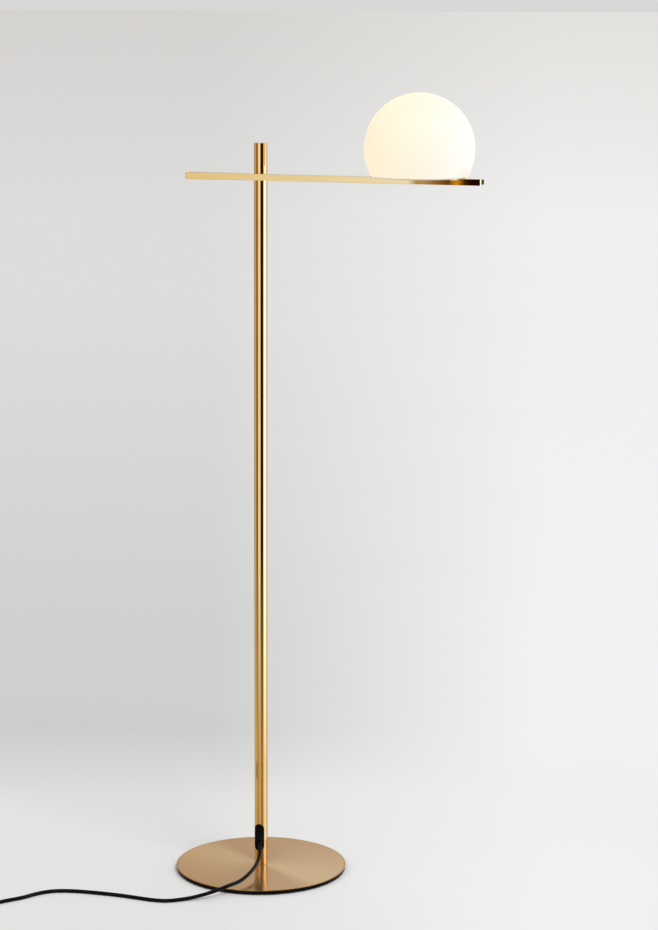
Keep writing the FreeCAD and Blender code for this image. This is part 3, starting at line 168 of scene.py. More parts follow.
class Finish:
    """One material, built node by node."""

    def __init__(self, name, owner=None):
        self.owner = owner or bpy.data.materials.new(name)
        self.owner.use_nodes = True
        self.tree = self.owner.node_tree
        self.tree.nodes.clear()

    def add(self, kind, settings=None, inputs=None, out=0):
        """Adds a node. Settings come first, then the values or links of its sockets."""
        node = self.tree.nodes.new(kind)
        for name, value in (settings or {}).items():
            if name == "stops":
                self.set_stops(node.color_ramp, value)
            else:
                setattr(node, name, value)
        for key, value in (inputs or {}).items():
            socket = find_socket(node.inputs, key)
            if isinstance(value, Signal):
                self.tree.links.new(value.socket, socket)
            else:
                socket.default_value = value
        return Signal(self, find_socket(node.outputs, out)) if node.outputs else None

    @staticmethod
    def set_stops(ramp, stops):
        """Gives a colour ramp its stops, each a position and a colour."""
        while len(ramp.elements) > 1:
            ramp.elements.remove(ramp.elements[-1])
        for position, _ in stops[1:]:
            ramp.elements.new(position)
        for element, (position, shade) in zip(ramp.elements, stops):
            element.position = position
            element.color = shade

    def place(self, stretch=(1, 1, 1)):
        """Where a point of the lamp is, in metres, stretched by a factor along each axis."""
        at = self.add("ShaderNodeTexCoord", out="Object")
        return self.add("ShaderNodeMapping", {"vector_type": "POINT"}, {
            "Vector": at, "Scale": stretch})

    def noise(self, scale, stretch=(1, 1, 1), detail=3.0, roughness=0.5):
        """Noise through the lamp's space, of so many waves to the metre."""
        return self.add("ShaderNodeTexNoise", {"noise_dimensions": "3D"}, {
            "Vector": self.place(stretch), "Scale": scale, "Detail": detail,
            "Roughness": roughness})

    def line_noise(self, signal):
        """Noise that varies with one signal alone."""
        return self.add("ShaderNodeTexNoise", {"noise_dimensions": "1D"}, {
            "W": signal, "Scale": 1.0, "Detail": 2.0, "Roughness": 0.5})

    def axes(self, about=(0, 0, 0)):
        """The distances from a point along X, Y and Z, as three signals."""
        at = self.add("ShaderNodeTexCoord", out="Object")
        shifted = self.add("ShaderNodeVectorMath", {"operation": "SUBTRACT"}, {0: at, 1: about})
        return [self.add("ShaderNodeSeparateXYZ", None, {0: shifted}, out=axis) for axis in "XYZ"]

    def radius(self):
        """The distance from the upright's axis."""
        x, y, _ = self.axes()
        return (x * x + y * y) ** 0.5

    def bearing(self):
        """The bearing round the upright, as a share of a turn. It is 0 behind, 0.25 on the
        lamp's left, 0.5 in front and 0.75 on its right."""
        x, y, _ = self.axes()
        return x.maths("ARCTAN2", x, y * -1.0) / math.tau + 0.5

    def blend(self, factor, first, second):
        """A colour between two colours."""
        return self.add("ShaderNodeMix", {"data_type": "RGBA"}, {
            "Factor_Float": factor, "A_Color": solid(first), "B_Color": solid(second)},
            out="Result_Color")

    def bump(self, height, strength, distance=0.0002):
        """A normal that a height signal tilts. The distance is in metres."""
        return self.add("ShaderNodeBump", None, {
            "Height": height, "Strength": strength, "Distance": distance}, out="Normal")

    def spread(self, signal, low, high):
        """0 where a signal is at low, 1 where it is at high, and even in between."""
        return self.add("ShaderNodeMapRange", {"clamp": True}, {
            "Value": signal, "From Min": low, "From Max": high})

    def surface(self, **inputs):
        """Ends the material in a Principled shader. Names use _ for a space."""
        named = {key.replace("_", " "): value for key, value in inputs.items()}
        shader = self.add("ShaderNodeBsdfPrincipled", None, named)
        self.add("ShaderNodeOutputMaterial", None, {"Surface": shader})
        return self.owner


def solid(shade):
    """A plain colour with its alpha, or a signal as it is."""
    return shade if isinstance(shade, Signal) else (*shade[:3], 1.0)


def lighter(shade, factor):
    """A colour times a factor, up to white."""
    return tuple(min(1.0, channel * factor) for channel in shade)


# ---- finishes ----------------------------------------------------------------------------


def polished_brass(name, shade, polish, along):
    """Lacquered brass with faint polishing lines along one axis."""
    finish = Finish(name)
    stretch = [1.0 if axis == along else 26.0 for axis in "XYZ"]
    lines = finish.noise(90.0, stretch, detail=4.0, roughness=0.7)
    haze = finish.noise(14.0, detail=2.0)
    marks = finish.spread(finish.noise(55.0, detail=6.0, roughness=0.8), 0.62, 0.78)
    tone = finish.spread(haze, 0.3, 0.7) * 0.6 + finish.spread(lines, 0.3, 0.7) * 0.4
    return finish.surface(
        Base_Color=finish.blend(tone, lighter(shade, 0.94), lighter(shade, 1.04)),
        Metallic=1.0,
        Roughness=polish + lines * (polish * 0.5) + marks * 0.03,
        Normal=finish.bump(lines, 0.012))


def brushed_bar_brass(name, shade, polish):
    """Brass brushed along the bar, with long fine lines that catch the light."""
    finish = Finish(name)
    fine = finish.noise(60.0, (0.12, 14.0, 14.0), detail=5.0, roughness=0.75)
    broad = finish.noise(18.0, (0.25, 9.0, 9.0), detail=2.0)
    tone = finish.spread(fine * 0.6 + broad * 0.4, 0.35, 0.65)
    return finish.surface(
        Base_Color=finish.blend(tone, lighter(shade, 0.92), lighter(shade, 1.08)),
        Metallic=1.0, Roughness=polish * 0.3 + fine * 0.02, Normal=finish.bump(fine, 0.012))


RINGS = 1500.0  # turning rings to the metre
PAINTED_FAN_STREAKS = 160.0  # streaks of light round the upright
# Two fans of highlight, with their streaks, are painted into the turned base's colour, half a turn
# apart. Shares of half a turn.
PAINTED_FAN_START = 0.25
PAINTED_FAN_RISES = (0.0, 0.09)
PAINTED_FAN_FALLS = (0.18, 0.72)
RIM_FADE = (0.0032, 0.0014)  # metres inside the base's edge, where the rim's shade sets in


def circle_brushed_brass(name, shade, painted_fan_shade, rim_shade, radius):
    """Brass turned in fine circles round the upright, with two fans of highlight painted into its
    colour.
    """
    finish = Finish(name)
    rings = finish.line_noise(finish.radius() * RINGS)
    haze = finish.noise(9.0, detail=3.0)
    specks = finish.spread(finish.noise(260.0, detail=2.0), 0.70, 0.80)
    tone = finish.spread(rings * 0.5 + haze * 0.5, 0.35, 0.65)
    plain = finish.blend(tone, lighter(shade, 0.95), lighter(shade, 1.04))
    # Painted highlight: two fans of lighter colour, half a turn apart, broken into streaks round
    # the upright.
    past = finish.bearing() * 2.0 - PAINTED_FAN_START
    past = past.maths("FRACT", past)
    painted_fan_streaks = finish.line_noise(finish.bearing() * PAINTED_FAN_STREAKS)
    painted_fan_mask = finish.spread(past, *PAINTED_FAN_RISES) * (1.0 - finish.spread(past, *PAINTED_FAN_FALLS))
    with_painted_fans = finish.blend(painted_fan_mask * (0.75 + painted_fan_streaks * 0.5), plain, painted_fan_shade)
    rim = finish.spread(finish.radius(), *(radius - inside for inside in RIM_FADE))
    return finish.surface(
        Base_Color=finish.blend(rim, with_painted_fans, rim_shade),
        Metallic=0.8, Roughness=0.035 + rings * 0.03 + haze * 0.03 + specks * 0.05,
        Specular_IOR_Level=0.1, Normal=finish.bump(rings, 0.32))


def bright_steel(name, shade, roughness=0.28):
    """Plated steel with fine turning lines and a faint cloudiness."""
    finish = Finish(name)
    lines = finish.noise(220.0, (1.0, 1.0, 8.0), detail=4.0)
    cloud = finish.noise(60.0, detail=3.0)
    return finish.surface(
        Base_Color=finish.blend(cloud, lighter(shade, 0.85), lighter(shade, 1.1)),
        Metallic=1.0, Roughness=roughness + lines * 0.12, Normal=finish.bump(lines, 0.08))


def painted_metal(name, shade, roughness, peel=0.05):
    """Even paint with the slight orange peel of a sprayed coat."""
    finish = Finish(name)
    skin = finish.noise(420.0, detail=2.0)
    cloud = finish.noise(12.0, detail=3.0)
    return finish.surface(
        Base_Color=finish.blend(cloud, lighter(shade, 0.9), lighter(shade, 1.1)),
        Roughness=roughness + cloud * 0.08, Specular_IOR_Level=0.05, Normal=finish.bump(skin, peel))


def moulded_plastic(name, shade, roughness, grain=0.12):
    """Moulded plastic with a fine spark-eroded grain, rubbed smoother in places."""
    finish = Finish(name)
    texture = finish.noise(1500.0, detail=3.0, roughness=0.6)
    rubbed = finish.spread(finish.noise(35.0, detail=5.0, roughness=0.7), 0.45, 0.75)
    return finish.surface(
        Base_Color=finish.blend(rubbed, shade, lighter(shade, 1.25)),
        Roughness=roughness - rubbed * 0.08 + texture * 0.08, Normal=finish.bump(texture, grain))


def soft_rubber(name, shade, roughness=0.42):
    """Black rubber, satin, with a dusty bloom in places."""
    finish = Finish(name)
    pores = finish.noise(1900.0, detail=2.0)
    bloom = finish.spread(finish.noise(70.0, detail=4.0), 0.4, 0.8)
    return finish.surface(
        Base_Color=finish.blend(bloom, shade, lighter(shade, 1.7)),
        Roughness=roughness + bloom * 0.12, Specular_IOR_Level=0.025,
        Normal=finish.bump(pores, 0.08))


def cord_sheath(name, shade):
    """The cord's glossy sheath, very slightly uneven from its extrusion."""
    finish = Finish(name)
    ripple = finish.noise(160.0, detail=3.0)
    grain = finish.noise(2200.0, detail=2.0)
    return finish.surface(
        Base_Color=finish.blend(ripple, shade, lighter(shade, 1.6)),
        Roughness=0.10 + ripple * 0.06 + grain * 0.04, Specular_IOR_Level=0.06,
        Normal=finish.bump(ripple * 0.7 + grain * 0.3, 0.10))


def pressed_felt(name, shade):
    """Short black felt."""
    finish = Finish(name)
    fibres = finish.noise(900.0, detail=6.0, roughness=0.8)
    return finish.surface(
        Base_Color=finish.blend(fibres, shade, lighter(shade, 2.4)),
        Roughness=0.95, Sheen_Weight=0.4, Normal=finish.bump(fibres, 0.6, 0.0006))


def glazed_ceramic(name, shade):
    """White glaze with faint pinholes."""
    finish = Finish(name)
    cloud = finish.noise(40.0, detail=3.0)
    pinholes = finish.spread(finish.noise(700.0, detail=1.0), 0.72, 0.8)
    return finish.surface(
        Base_Color=finish.blend(cloud, lighter(shade, 0.95), shade),
        Roughness=0.14 + pinholes * 0.25, Coat_Weight=0.5, Normal=finish.bump(1 - pinholes, 0.12))


def opal_glass(name, settings):
    """Lit opal glass, with painted light and shade in its glow: whiter on the side away from the
    upright, where the key light falls, and warmer towards the upright and near the mouth.
    """
    finish = Finish(name)
    x, _, z = finish.axes(tuple(GLOBE_MIDDLE))
    # Painted light and shade: the glow whitens towards +X, where the key light falls, and warms
    # near the mouth.
    across = finish.spread(x, -GLOBE_RADIUS * 0.2, GLOBE_RADIUS * 0.9)
    mouth_shade_mask = 1 - finish.spread(z, -GLOBE_RADIUS, -GLOBE_RADIUS * 0.15)
    cloud = finish.noise(16.0, detail=3.0)
    glow = finish.blend(across, settings.shaded_side_glow, settings.lit_side_glow)
    glow = finish.blend(mouth_shade_mask * 0.45, glow, settings.shaded_side_glow)
    return finish.surface(
        Base_Color=finish.blend(cloud, lighter(settings.glass, 0.97), settings.glass),
        Roughness=0.42 + cloud * 0.08, Specular_IOR_Level=0.12,
        Emission_Color=glow, Emission_Strength=1.0,
        Normal=finish.bump(finish.noise(24.0, detail=2.0), 0.02))


def bulb_diffuser(name, shade):
    """The bulb's frosted dome, lit."""
    finish = Finish(name)
    frost = finish.noise(1200.0, detail=2.0)
    cloud = finish.noise(30.0, detail=2.0)
    return finish.surface(
        Base_Color=finish.blend(cloud, lighter(shade, 0.58), lighter(shade, 0.62)),
        Roughness=0.5 + frost * 0.1, Emission_Color=solid(shade), Emission_Strength=0.42,
        Normal=finish.bump(frost, 0.08))


def dress(material, *nodes):
    """Gives pieces of the lamp a material."""
    for node in nodes:
        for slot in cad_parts[node].material_slots:
            slot.material = material


# ---- camera ------------------------------------------------------------------------------

# Found from the photograph. The three directions are unit lengths.
CAMERA_AT = Vector((1.5572, -4.5987, 1.6332))
CAMERA_RIGHT = Vector((0.95506, 0.29637, 0.00398))
CAMERA_UP = Vector((-0.05456, 0.16259, 0.98519))
CAMERA_AHEAD = Vector((-0.29133, 0.94113, -0.17145))
CAMERA_LENS = 101.6  # millimetres, for a long side of 36 mm


class LAMP_OT_camera(bpy.types.Operator):
    """Set the camera in front of the lamp, a little to its right and above"""

    bl_idname = "floor_lamp.camera"
    bl_label = "Camera"

    def execute(self, context):
        lens = bpy.data.cameras.new("lamp_camera")
        lens.lens = CAMERA_LENS
        lens.sensor_width = 36.0
        lens.clip_start, lens.clip_end = 0.05, 4000.0
        camera = bpy.data.objects.new("lamp_camera", lens)
        context.scene.collection.objects.link(camera)
        turn = Matrix((CAMERA_RIGHT, CAMERA_UP, -CAMERA_AHEAD)).transposed()
        camera.matrix_world = Matrix.Translation(CAMERA_AT) @ turn.to_4x4()
        context.scene.camera = camera
        return {"FINISHED"}


# ---- cord --------------------------------------------------------------------------------

# From the sleeve on the upright, over the base and along the floor to the foot switch.
LEAD_ROUTE = [
    (0.005, -0.020, 0.052), (0.0065, -0.027, 0.0425), (0.0095, -0.039, 0.0345),
    (0.012, -0.060, 0.029), (0.0135, -0.091, 0.0255), (0.011, -0.123, 0.0225),
    (0.006, -0.148, 0.020), (-0.005, -0.173, 0.020), (-0.022, -0.191, 0.0145),
    (-0.042, -0.205, 0.009), (-0.062, -0.218, 0.005), (-0.080, -0.230, 0.0035),
    (-0.101, -0.245, 0.0035), (-0.126, -0.2485, 0.0035), (-0.155, -0.246, 0.0035),
    (-0.196, -0.242, 0.0035), (-0.243, -0.2425, 0.0035), (-0.290, -0.246, 0.0035),
    (-0.324, -0.257, 0.0035), (-0.346, -0.279, 0.0035), (-0.363, -0.311, 0.0035),
    (-0.388, -0.338, 0.0035), (-0.404, -0.362, 0.0035), (-0.424, -0.382, 0.0042),
    (-0.446, -0.392, 0.0065), (-0.466, -0.392, 0.0065)]
# From the switch to the coil.
LINK_ROUTE = [
    (-0.558, -0.392, 0.0065), (-0.574, -0.392, 0.0065), (-0.5906, -0.3851, 0.0048),
    (-0.6033, -0.3724, 0.0038), (-0.6109, -0.3561, 0.0040), (-0.614, -0.3384, 0.0048),
    (-0.614, -0.324, 0.0048)]
COIL_START = Vector((-0.614, -0.317, 0.0048))
COIL_LEAVES_BY = Vector((0, 0.007, 0))  # from the last half turn to the coil's end
COIL_OUTER = 0.0485
COIL_STEP = 0.00385  # each half turn's radius is this much less than the one outside it
COIL_RISE = 0.0076  # from the lower layer to the upper
# The half turns one after the other, each by its place from the outside: in along the lower
# layer, one that climbs, and out along the upper layer.
SPIRAL_IN = (1, 2, 3, 4)
REVERSAL = (5,)
SPIRAL_OUT = (4, 3, 2, 1, 0)
POINTS_PER_HALF_TURN = 8
# From the coil's end to the plug, counted from the coil's end.
TAIL_STEPS = [
    (0.0, 0.016, 0.0), (0.0037, 0.033, -0.0028), (0.0107, 0.049, -0.0049),
    (0.0187, 0.064, -0.0049)]


def coil_points():
    """The coil's control points and its end."""
    points = []
    here = COIL_START.copy()
    side = 1
    step = math.pi / POINTS_PER_HALF_TURN
    for place_in in SPIRAL_IN + REVERSAL + SPIRAL_OUT:
        radius = COIL_OUTER - place_in * COIL_STEP
        rise = COIL_RISE if place_in in REVERSAL else 0.0
        middle = here + Vector((radius * side, 0, 0))
        reach = radius / math.cos(step / 2)  # a smooth line through these stays on the radius
        for i in range(POINTS_PER_HALF_TURN):
            share = (i + 0.5) / POINTS_PER_HALF_TURN
            angle = math.pi * (1 - share)
            points.append(middle + Vector((reach * math.cos(angle) * side,
                                           reach * math.sin(angle) * side, rise * share)))
        here = middle + Vector((radius * side, 0, rise))
        side = -side
    return points, here + COIL_LEAVES_BY


def cord_curve(name, points, thickness, sheath):
    """A round cord along a smooth line near the points."""
    curve = bpy.data.curves.new(name, "CURVE")
    curve.dimensions = "3D"
    curve.bevel_depth = thickness / 2
    curve.bevel_resolution = 7
    curve.use_fill_caps = True
    spline = curve.splines.new("NURBS")
    spline.points.add(len(points) - 1)
    for control, point in zip(spline.points, points):
        control.co = (*point, 1.0)
    spline.order_u = 3
    spline.use_endpoint_u = True
    spline.resolution_u = 10
    curve.materials.append(sheath)
    cord = bpy.data.objects.new(name, curve)
    bpy.context.scene.collection.objects.link(cord)
    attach(cord, "stand")
    return cord


class LAMP_OT_cord(bpy.types.Operator):
    """Lay the mains cord from the upright to the switch, and on through its coil to the plug"""

    bl_idname = "floor_lamp.cord"
    bl_label = "Mains cord"

    def execute(self, context):
        settings = context.scene.lamp_cord
        sheath = cord_sheath("cord_sheath", settings.sheath)
        lead = cord_curve("mains_cord_to_switch", LEAD_ROUTE, settings.thickness, sheath)
        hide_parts("power_cord_lead")

        turns, coil_end = coil_points()
        tail = [coil_end + Vector(step) for step in TAIL_STEPS]
        rest = cord_curve("mains_cord_to_plug", LINK_ROUTE + turns + tail, settings.thickness,
                          sheath)
        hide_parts("power_cord_link", "power_cord_coil", "power_cord_tail")
        dress(sheath, "inner_cord")
        dress(moulded_plastic("tie_plastic", settings.sheath, 0.45), "coil_tie")
        return {"FINISHED"}


# ---- pieces ------------------------------------------------------------------------------


class LAMP_OT_base(bpy.types.Operator):
    """Finish the round base: brushed brass over a black weight on felt"""

    bl_idname = "floor_lamp.base"
    bl_label = "Base"

    def execute(self, context):
        brass = context.scene.lamp_brass
        dress(circle_brushed_brass("brass_turned_with_painted_fans", brass.brushed, brass.painted_fan, brass.rim,
                                  BASE_RADIUS), "base_cover")
        dress(painted_metal("black_weight_paint", (0.004, 0.004, 0.004), 0.45), "base_weight")
        dress(pressed_felt("black_felt", (0.014, 0.014, 0.015)), "base_pad")
        dress(bright_steel("zinc_steel", (0.62, 0.59, 0.52)), "base_bolt", "locating_pin",
              "foot_plug")
        return {"FINISHED"}


class LAMP_OT_upright(bpy.types.Operator):
    """Finish the upright and the outlet where the cord leaves it"""

    bl_idname = "floor_lamp.upright"
    bl_label = "Upright"

    def execute(self, context):
        brass = context.scene.lamp_brass
        rubber = soft_rubber("black_rubber", context.scene.lamp_cord.sheath)
        dress(polished_brass("brass_polished_tube", brass.polished, brass.polish, "Z"),
             "upright_tube", "upright_top_cap")
        dress(rubber, "cord_grommet", "strain_relief")
        dress(moulded_plastic("natural_nylon", (0.72, 0.71, 0.66), 0.5), "cord_clamp")
        dress(bright_steel("clamp_screw_steel", (0.60, 0.57, 0.50)), "clamp_screw")
        dress(moulded_plastic("brown_insulation", (0.16, 0.06, 0.025), 0.35), "live_lead")
        dress(moulded_plastic("blue_insulation", (0.03, 0.10, 0.42), 0.35), "neutral_lead")
        return {"FINISHED"}


class LAMP_OT_bar(bpy.types.Operator):
    """Finish the cross bar, its end caps and what fastens it to the upright"""

    bl_idname = "floor_lamp.bar"
    bl_label = "Cross bar"

    def execute(self, context):
        brass = context.scene.lamp_brass
        dress(brushed_bar_brass("brass_brushed_bar", brass.bar, brass.polish),
             "arm_bar", "bar_end_cap_left", "bar_end_cap_right")
        dress(polished_brass("brass_saddle", brass.polished, brass.polish, "Z"), "arm_saddle")
        dress(bright_steel("fastener_steel", (0.61, 0.58, 0.51)),
             "arm_nipple", "arm_washer", "arm_nut", "arm_insert", "shade_nipple",
             "shade_lower_nut", "shade_upper_nut")
        return {"FINISHED"}


class LAMP_OT_gallery(bpy.types.Operator):
    """Finish the plate, tabs and springs that carry the globe, and the lampholder"""

    bl_idname = "floor_lamp.gallery"
    bl_label = "Gallery and lampholder"

    def execute(self, context):
        dress(painted_metal("white_enamel", (0.66, 0.65, 0.62), 0.3), "gallery_plate")
        dress(soft_rubber("clear_silicone", (0.74, 0.66, 0.50), 0.35), "shade_rest_sleeves")
        dress(bright_steel("spring_steel", (0.60, 0.57, 0.49), 0.2), "shade_clips", "clip_rivets")
        dress(moulded_plastic("white_holder_plastic", (0.82, 0.81, 0.77), 0.3), "holder_cap",
             "holder_barrel")
        dress(glazed_ceramic("glazed_ceramic", (0.88, 0.87, 0.84)), "holder_insert")
        dress(bright_steel("contact_brass", (0.76, 0.56, 0.28), 0.2), "holder_contacts")
        return {"FINISHED"}


class LAMP_OT_globe(bpy.types.Operator):
    """Light the opal globe and the bulb in it"""

    bl_idname = "floor_lamp.globe"
    bl_label = "Globe and bulb"

    def execute(self, context):
        dress(opal_glass("opal_glass", context.scene.lamp_globe), "globe_glass")
        dress(bulb_diffuser("bulb_frost", (0.95, 0.90, 0.78)), "bulb_dome")
        dress(moulded_plastic("bulb_body_plastic", (0.85, 0.84, 0.81), 0.35), "bulb_body")
        dress(bright_steel("bulb_cap_nickel", (0.70, 0.66, 0.56), 0.18), "bulb_cap")
        return {"FINISHED"}


class LAMP_OT_switch(bpy.types.Operator):
    """Finish the foot switch"""

    bl_idname = "floor_lamp.foot_switch"
    bl_label = "Foot switch"

    def execute(self, context):
        sheath = context.scene.lamp_cord.sheath
        shell = moulded_plastic("black_switch_plastic", lighter(sheath, 1.3), 0.38)
        dress(shell, "switch_base", "switch_cover", "switch_contact_block")
        dress(moulded_plastic("button_plastic", lighter(sheath, 1.9), 0.30), "switch_button")
        dress(soft_rubber("switch_rubber", sheath), "switch_inlet_relief", "switch_outlet_relief",
             "switch_feet")
        dress(bright_steel("switch_steel", (0.60, 0.57, 0.50)), "switch_spring", "switch_screws")
        dress(bright_steel("terminal_brass", (0.76, 0.56, 0.28), 0.25), "switch_terminals")
        return {"FINISHED"}


class LAMP_OT_plug(bpy.types.Operator):
    """Finish the plug"""

    bl_idname = "floor_lamp.plug"
    bl_label = "Plug"

    def execute(self, context):
        sheath = context.scene.lamp_cord.sheath
        dress(moulded_plastic("black_plug_plastic", lighter(sheath, 1.2), 0.42), "plug_body")
        dress(soft_rubber("plug_rubber", sheath), "plug_relief")
        dress(bright_steel("pin_nickel", (0.72, 0.67, 0.56), 0.16), "plug_pins")
        return {"FINISHED"}


# ---- studio ------------------------------------------------------------------------------

# What only reflections show: a round wall of panels and flags about the lamp, and the floor inside
# it. Each piece runs from one bearing to another, in degrees from the front towards the lamp's
# right, and its light runs from one shade to another. A piece of one bearing is a single stop. A
# ramp takes 32 stops at most.
WALL_RADIUS = 0.76
WALL_FOOT = 0.002
WALL_TOP = 2.4
FOOT_FADE = (0.0, 0.48)  # up between these heights the floor's light turns into the wall's
TOP_FADE = (1.55, 1.85)  # and between these the wall's light turns into one even shade
TOP_SHADE = (0.82, 0.76, 0.66)
RING_HEIGHT = 0.001  # of the mirrored floor
RING_GAP = 0.004  # between the base's edge and the mirrored floor
BRIGHTEST = 5.0  # no channel of a shade is more than this
WALL_PIECES = {
    "pale back": (-166, -166, (0.77, 0.86, 0.88), (0.77, 0.86, 0.88)),
    "tan back": (-145, -145, (0.52, 0.46, 0.38), (0.52, 0.46, 0.38)),
    "left flag": (-134, -118, (0.20, 0.15, 0.11), (0.20, 0.15, 0.11)),
    "pale left": (-108, -78, (0.74, 0.67, 0.62), (0.70, 0.62, 0.55)),
    "tan left": (-75, -56, (0.46, 0.33, 0.22), (0.44, 0.30, 0.18)),
    "brown flag": (-53, -36, (0.18, 0.07, 0.005), (0.16, 0.06, 0.004)),
    "white panel": (-31, 7.6, (1.00, 1.08, 1.02), (1.12, 1.38, 2.20)),
    "bronze flag": (8.1, 9.7, (0.57, 0.44, 0.18), (0.55, 0.42, 0.18)),
    "slit": (10.0, 10.9, (0.58, 0.60, 0.68), (0.55, 0.52, 0.50)),
    "dark bronze flag": (11.3, 14.3, (0.38, 0.25, 0.11), (0.15, 0.07, 0.010)),
    "amber strip": (14.8, 16.5, (0.86, 0.54, 0.04), (0.66, 0.34, 0.008)),
    "black flag": (16.9, 46, (0.014, 0.004, 0.002), (0.004, 0.001, 0.001)),
    "red-brown flag": (50, 60, (0.15, 0.03, 0.001), (0.17, 0.04, 0.001)),
    "window": (80, 107, (2.6, 3.0, 4.8), (2.6, 3.0, 5.0)),
    "pale right": (116, 128, (0.98, 1.16, 1.80), (0.95, 1.10, 1.60)),
    "far flag": (129.5, 136, (0.12, 0.09, 0.05), (0.08, 0.06, 0.04)),
    "pale far right": (138, 180, (0.90, 1.02, 1.25), (0.80, 0.90, 0.92)),
}
FLOOR_PIECES = {
    "left": (-180, -66, (0.66, 0.60, 0.52), (0.70, 0.62, 0.50)),
    "front left": (-42, -24, (0.54, 0.43, 0.31), (0.50, 0.39, 0.26)),
    "front": (-8, 2, (0.72, 0.66, 0.55), (0.70, 0.63, 0.52)),
    "front right": (27, 52, (0.41, 0.30, 0.22), (0.38, 0.27, 0.17)),
    "right": (76, 104, (1.05, 1.18, 1.50), (1.15, 1.36, 2.00)),
    "far right": (126, 180, (0.78, 0.79, 0.83), (0.66, 0.60, 0.52)),
}


def light_at(finish, pieces):
    """The shade that the pieces give at each bearing."""
    stops = {}
    for first, last, first_shade, last_shade in pieces.values():
        for degrees, shade in ((first, first_shade), (last, last_shade)):
            stops[degrees / 360 + 0.5] = solid(lighter(shade, 1 / BRIGHTEST))
    return finish.add("ShaderNodeValToRGB", {"stops": list(stops.items())}, {0: finish.bearing()})


def glow_of(finish, light):
    """Ends a material as plain light of a shade."""
    glow = finish.add("ShaderNodeEmission", None, {"Color": light, "Strength": BRIGHTEST})
    finish.add("ShaderNodeOutputMaterial", None, {"Surface": glow})
    return finish.owner


def only_mirrored(name, corners, faces, material):
    """Adds a piece of the studio that shows in reflections alone."""
    mesh = bpy.data.meshes.new(name)
    mesh.from_pydata(corners, [], faces)
    mesh.materials.append(material)
    made = bpy.data.objects.new(name, mesh)
    bpy.context.scene.collection.objects.link(made)
    made.visible_camera = False
    made.visible_diffuse = False
    made.visible_transmission = False
    made.visible_volume_scatter = False
    made.visible_shadow = False


def strip_round_lamp(first, second, count=120):
    """Corners and faces of a strip round the upright, between two pairs of radius and height."""
    turns = [math.tau * i / count for i in range(count)]
    corners = [(radius * math.sin(t), -radius * math.cos(t), height)
               for radius, height in (first, second) for t in turns]
    faces = [(i, (i + 1) % count, count + (i + 1) % count, count + i) for i in range(count)]
    return corners, faces


def raise_panels():
    """Adds the wall and the floor that only reflections show."""
    wall = Finish("wall_light")
    _, _, height = wall.axes()
    light = wall.blend(wall.spread(height, *FOOT_FADE),
                       light_at(wall, FLOOR_PIECES), light_at(wall, WALL_PIECES))
    light = wall.blend(wall.spread(height, *TOP_FADE), light, lighter(TOP_SHADE, 1 / BRIGHTEST))
    around = strip_round_lamp((WALL_RADIUS, WALL_FOOT), (WALL_RADIUS, WALL_TOP))
    only_mirrored("mirrored_wall", *around, glow_of(wall, light))
    ground = Finish("floor_light")
    around = strip_round_lamp((BASE_RADIUS + RING_GAP, RING_HEIGHT), (WALL_RADIUS, RING_HEIGHT))
    only_mirrored("mirrored_floor", *around, glow_of(ground, light_at(ground, FLOOR_PIECES)))


# The floor's colour has painted light and shade, as light falls on a paper sweep, darker to the
# lamp's left. Each pair is the painted shade to the left of the lamp and the one to its right as
# the camera sees them, in shares of the floor's colour.
NEAR_FLOOR = (0.95, 1.07)
BACK_FLOOR = (0.77, 1.10)
FAR_FLOOR = (0.89, 1.08)
FARTHEST_FLOOR = ((0.72, 0.70, 0.68), (0.83, 0.82, 0.79))  # these are colours, not shares
# Where one pair turns into the next: the way down from the camera's height as a share of the way
# ahead of it.
NEAR_TO_BACK = (0.284, 0.312)
BACK_TO_FAR = (0.25, 0.11)
FAR_TO_FARTHEST = (0.08, 0.0)
# Where the left shade turns into the right one: the way to the right of the camera as a share of
# the way along Y. Farther left it turns again, and so it does beside the camera.
LEFT_TO_RIGHT = (-0.35, -0.21)
LEFT_TO_FAR_LEFT = (-0.6, -1.2)
AHEAD_TO_BESIDE = (2.0, 0.0)  # metres along Y from the camera
FLOOR_REACH = 1500.0
LEAST_AHEAD = 0.1  # metres


def lay_floor(shade):
    """Adds the floor, which runs out to the horizon, with light and shade painted into its colour.
    """
    mesh = bpy.data.meshes.new("studio_floor")
    corners = [(x * FLOOR_REACH, y * FLOOR_REACH, 0)
               for x, y in ((-1, -1), (1, -1), (1, 1), (-1, 1))]
    mesh.from_pydata(corners, [], [(0, 1, 2, 3)])
    finish = Finish("floor_painted_light")
    x, y, z = finish.axes(tuple(CAMERA_AT))
    patches = finish.noise(0.8, detail=2.0)
    across = x / y + patches * 0.02
    right = (finish.spread(across, *LEFT_TO_RIGHT) + finish.spread(across, *LEFT_TO_FAR_LEFT)
             + finish.spread(y, *AHEAD_TO_BESIDE))
    ahead = x * CAMERA_AHEAD.x + y * CAMERA_AHEAD.y
    down = z / ahead.maths("MAXIMUM", ahead, LEAST_AHEAD) * -1.0
    # Painted light and shade: lighter to the right, and changing with the distance ahead of the
    # camera.
    near, back, far = (finish.blend(right, lighter(shade, left_share), lighter(shade, right_share))
                       for left_share, right_share in (NEAR_FLOOR, BACK_FLOOR, FAR_FLOOR))
    painted_light_and_shade = finish.blend(finish.spread(down, *BACK_TO_FAR), back, far)
    painted_light_and_shade = finish.blend(finish.spread(down, *FAR_TO_FARTHEST), painted_light_and_shade,
                         finish.blend(right, *FARTHEST_FLOOR))
    painted_light_and_shade = finish.blend(finish.spread(down, *NEAR_TO_BACK), painted_light_and_shade, near)
    mesh.materials.append(finish.surface(
        Base_Color=painted_light_and_shade, Roughness=0.9, Specular_IOR_Level=0.1))
    floor = bpy.data.objects.new("studio_floor", mesh)
    bpy.context.scene.collection.objects.link(floor)


SEEN_SHARE = 0.78  # the share of the floor's colour that the horizon shows


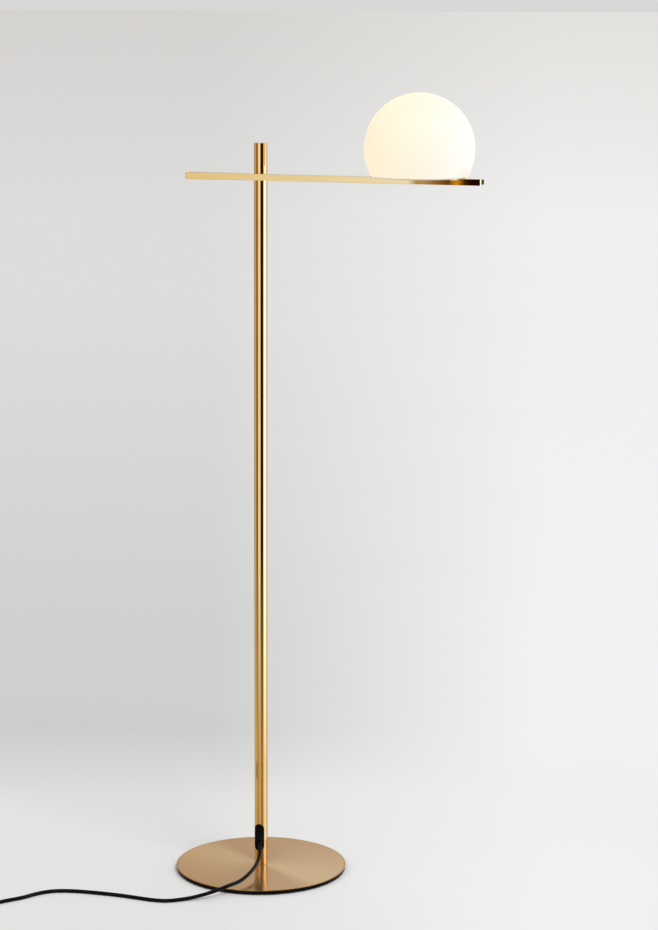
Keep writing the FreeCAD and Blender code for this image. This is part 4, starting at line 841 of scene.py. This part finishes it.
def light_surroundings(scene, shade, strength):
    """Even light from all sides. The camera and the brass see the horizon's shade instead."""
    world = bpy.data.worlds.new("studio_world")
    scene.world = world
    sky = Finish("studio_world", world)
    seen = [sky.add("ShaderNodeLightPath", out=f"Is {kind} Ray")
            for kind in ("Camera", "Glossy", "Transmission")]
    lights = sky.add("ShaderNodeBackground", None, {"Color": (1, 1, 1, 1), "Strength": strength})
    shows = sky.add("ShaderNodeBackground", None, {"Color": solid(shade), "Strength": SEEN_SHARE})
    mixed = sky.add("ShaderNodeMixShader", None, {
        "Fac": seen[0] + seen[1] + seen[2], 1: lights, 2: shows})
    sky.add("ShaderNodeOutputWorld", None, {"Surface": mixed})


KEY_FROM = Vector((0.62, -0.45, 1.0))  # from high on the right, a little in front
KEY_SPREAD = math.radians(24)


class LAMP_OT_studio(bpy.types.Operator):
    """Lay the floor and set the lights round the lamp"""

    bl_idname = "floor_lamp.studio"
    bl_label = "Studio"

    def execute(self, context):
        scene = context.scene
        studio = scene.lamp_studio
        scene.view_settings.view_transform = "Standard"
        lay_floor(studio.floor)
        light_surroundings(scene, studio.floor, studio.surroundings)
        raise_panels()
        key = bpy.data.lights.new("key_light", "SUN")
        key.energy = studio.key
        key.angle = KEY_SPREAD
        lamp = bpy.data.objects.new("key_light", key)
        scene.collection.objects.link(lamp)
        lamp.rotation_mode = "QUATERNION"
        lamp.rotation_quaternion = KEY_FROM.to_track_quat("Z", "Y")
        return {"FINISHED"}


# ---- the add-on --------------------------------------------------------------------------

SETTINGS = [("lamp_brass", BrassSettings), ("lamp_cord", CordSettings),
            ("lamp_globe", GlobeSettings), ("lamp_studio", StudioSettings)]
OPERATORS = [LAMP_OT_camera, LAMP_OT_cord, LAMP_OT_base, LAMP_OT_upright, LAMP_OT_bar,
             LAMP_OT_gallery, LAMP_OT_globe, LAMP_OT_switch, LAMP_OT_plug, LAMP_OT_studio]


class LAMP_PT_panel(bpy.types.Panel):
    """The lamp's settings and steps"""

    bl_idname = "LAMP_PT_panel"
    bl_label = "Globe floor lamp"
    bl_space_type = "VIEW_3D"
    bl_region_type = "UI"
    bl_category = "Floor lamp"

    def draw(self, context):
        for name, group in SETTINGS:
            settings = getattr(context.scene, name)
            box = self.layout.box()
            for field in group.__annotations__:
                box.prop(settings, field)
        for step in OPERATORS:
            self.layout.operator(step.bl_idname)


def register():
    for name, group in SETTINGS:
        bpy.utils.register_class(group)
        setattr(bpy.types.Scene, name, PointerProperty(type=group))
    for step in OPERATORS:
        bpy.utils.register_class(step)
    bpy.utils.register_class(LAMP_PT_panel)


def unregister():
    bpy.utils.unregister_class(LAMP_PT_panel)
    for step in reversed(OPERATORS):
        bpy.utils.unregister_class(step)
    for name, group in reversed(SETTINGS):
        delattr(bpy.types.Scene, name)
        bpy.utils.unregister_class(group)


def main():
    register()
    for step in OPERATORS:
        family, action = step.bl_idname.split(".")
        getattr(getattr(bpy.ops, family), action)()


if __name__ == "__main__":
    main()
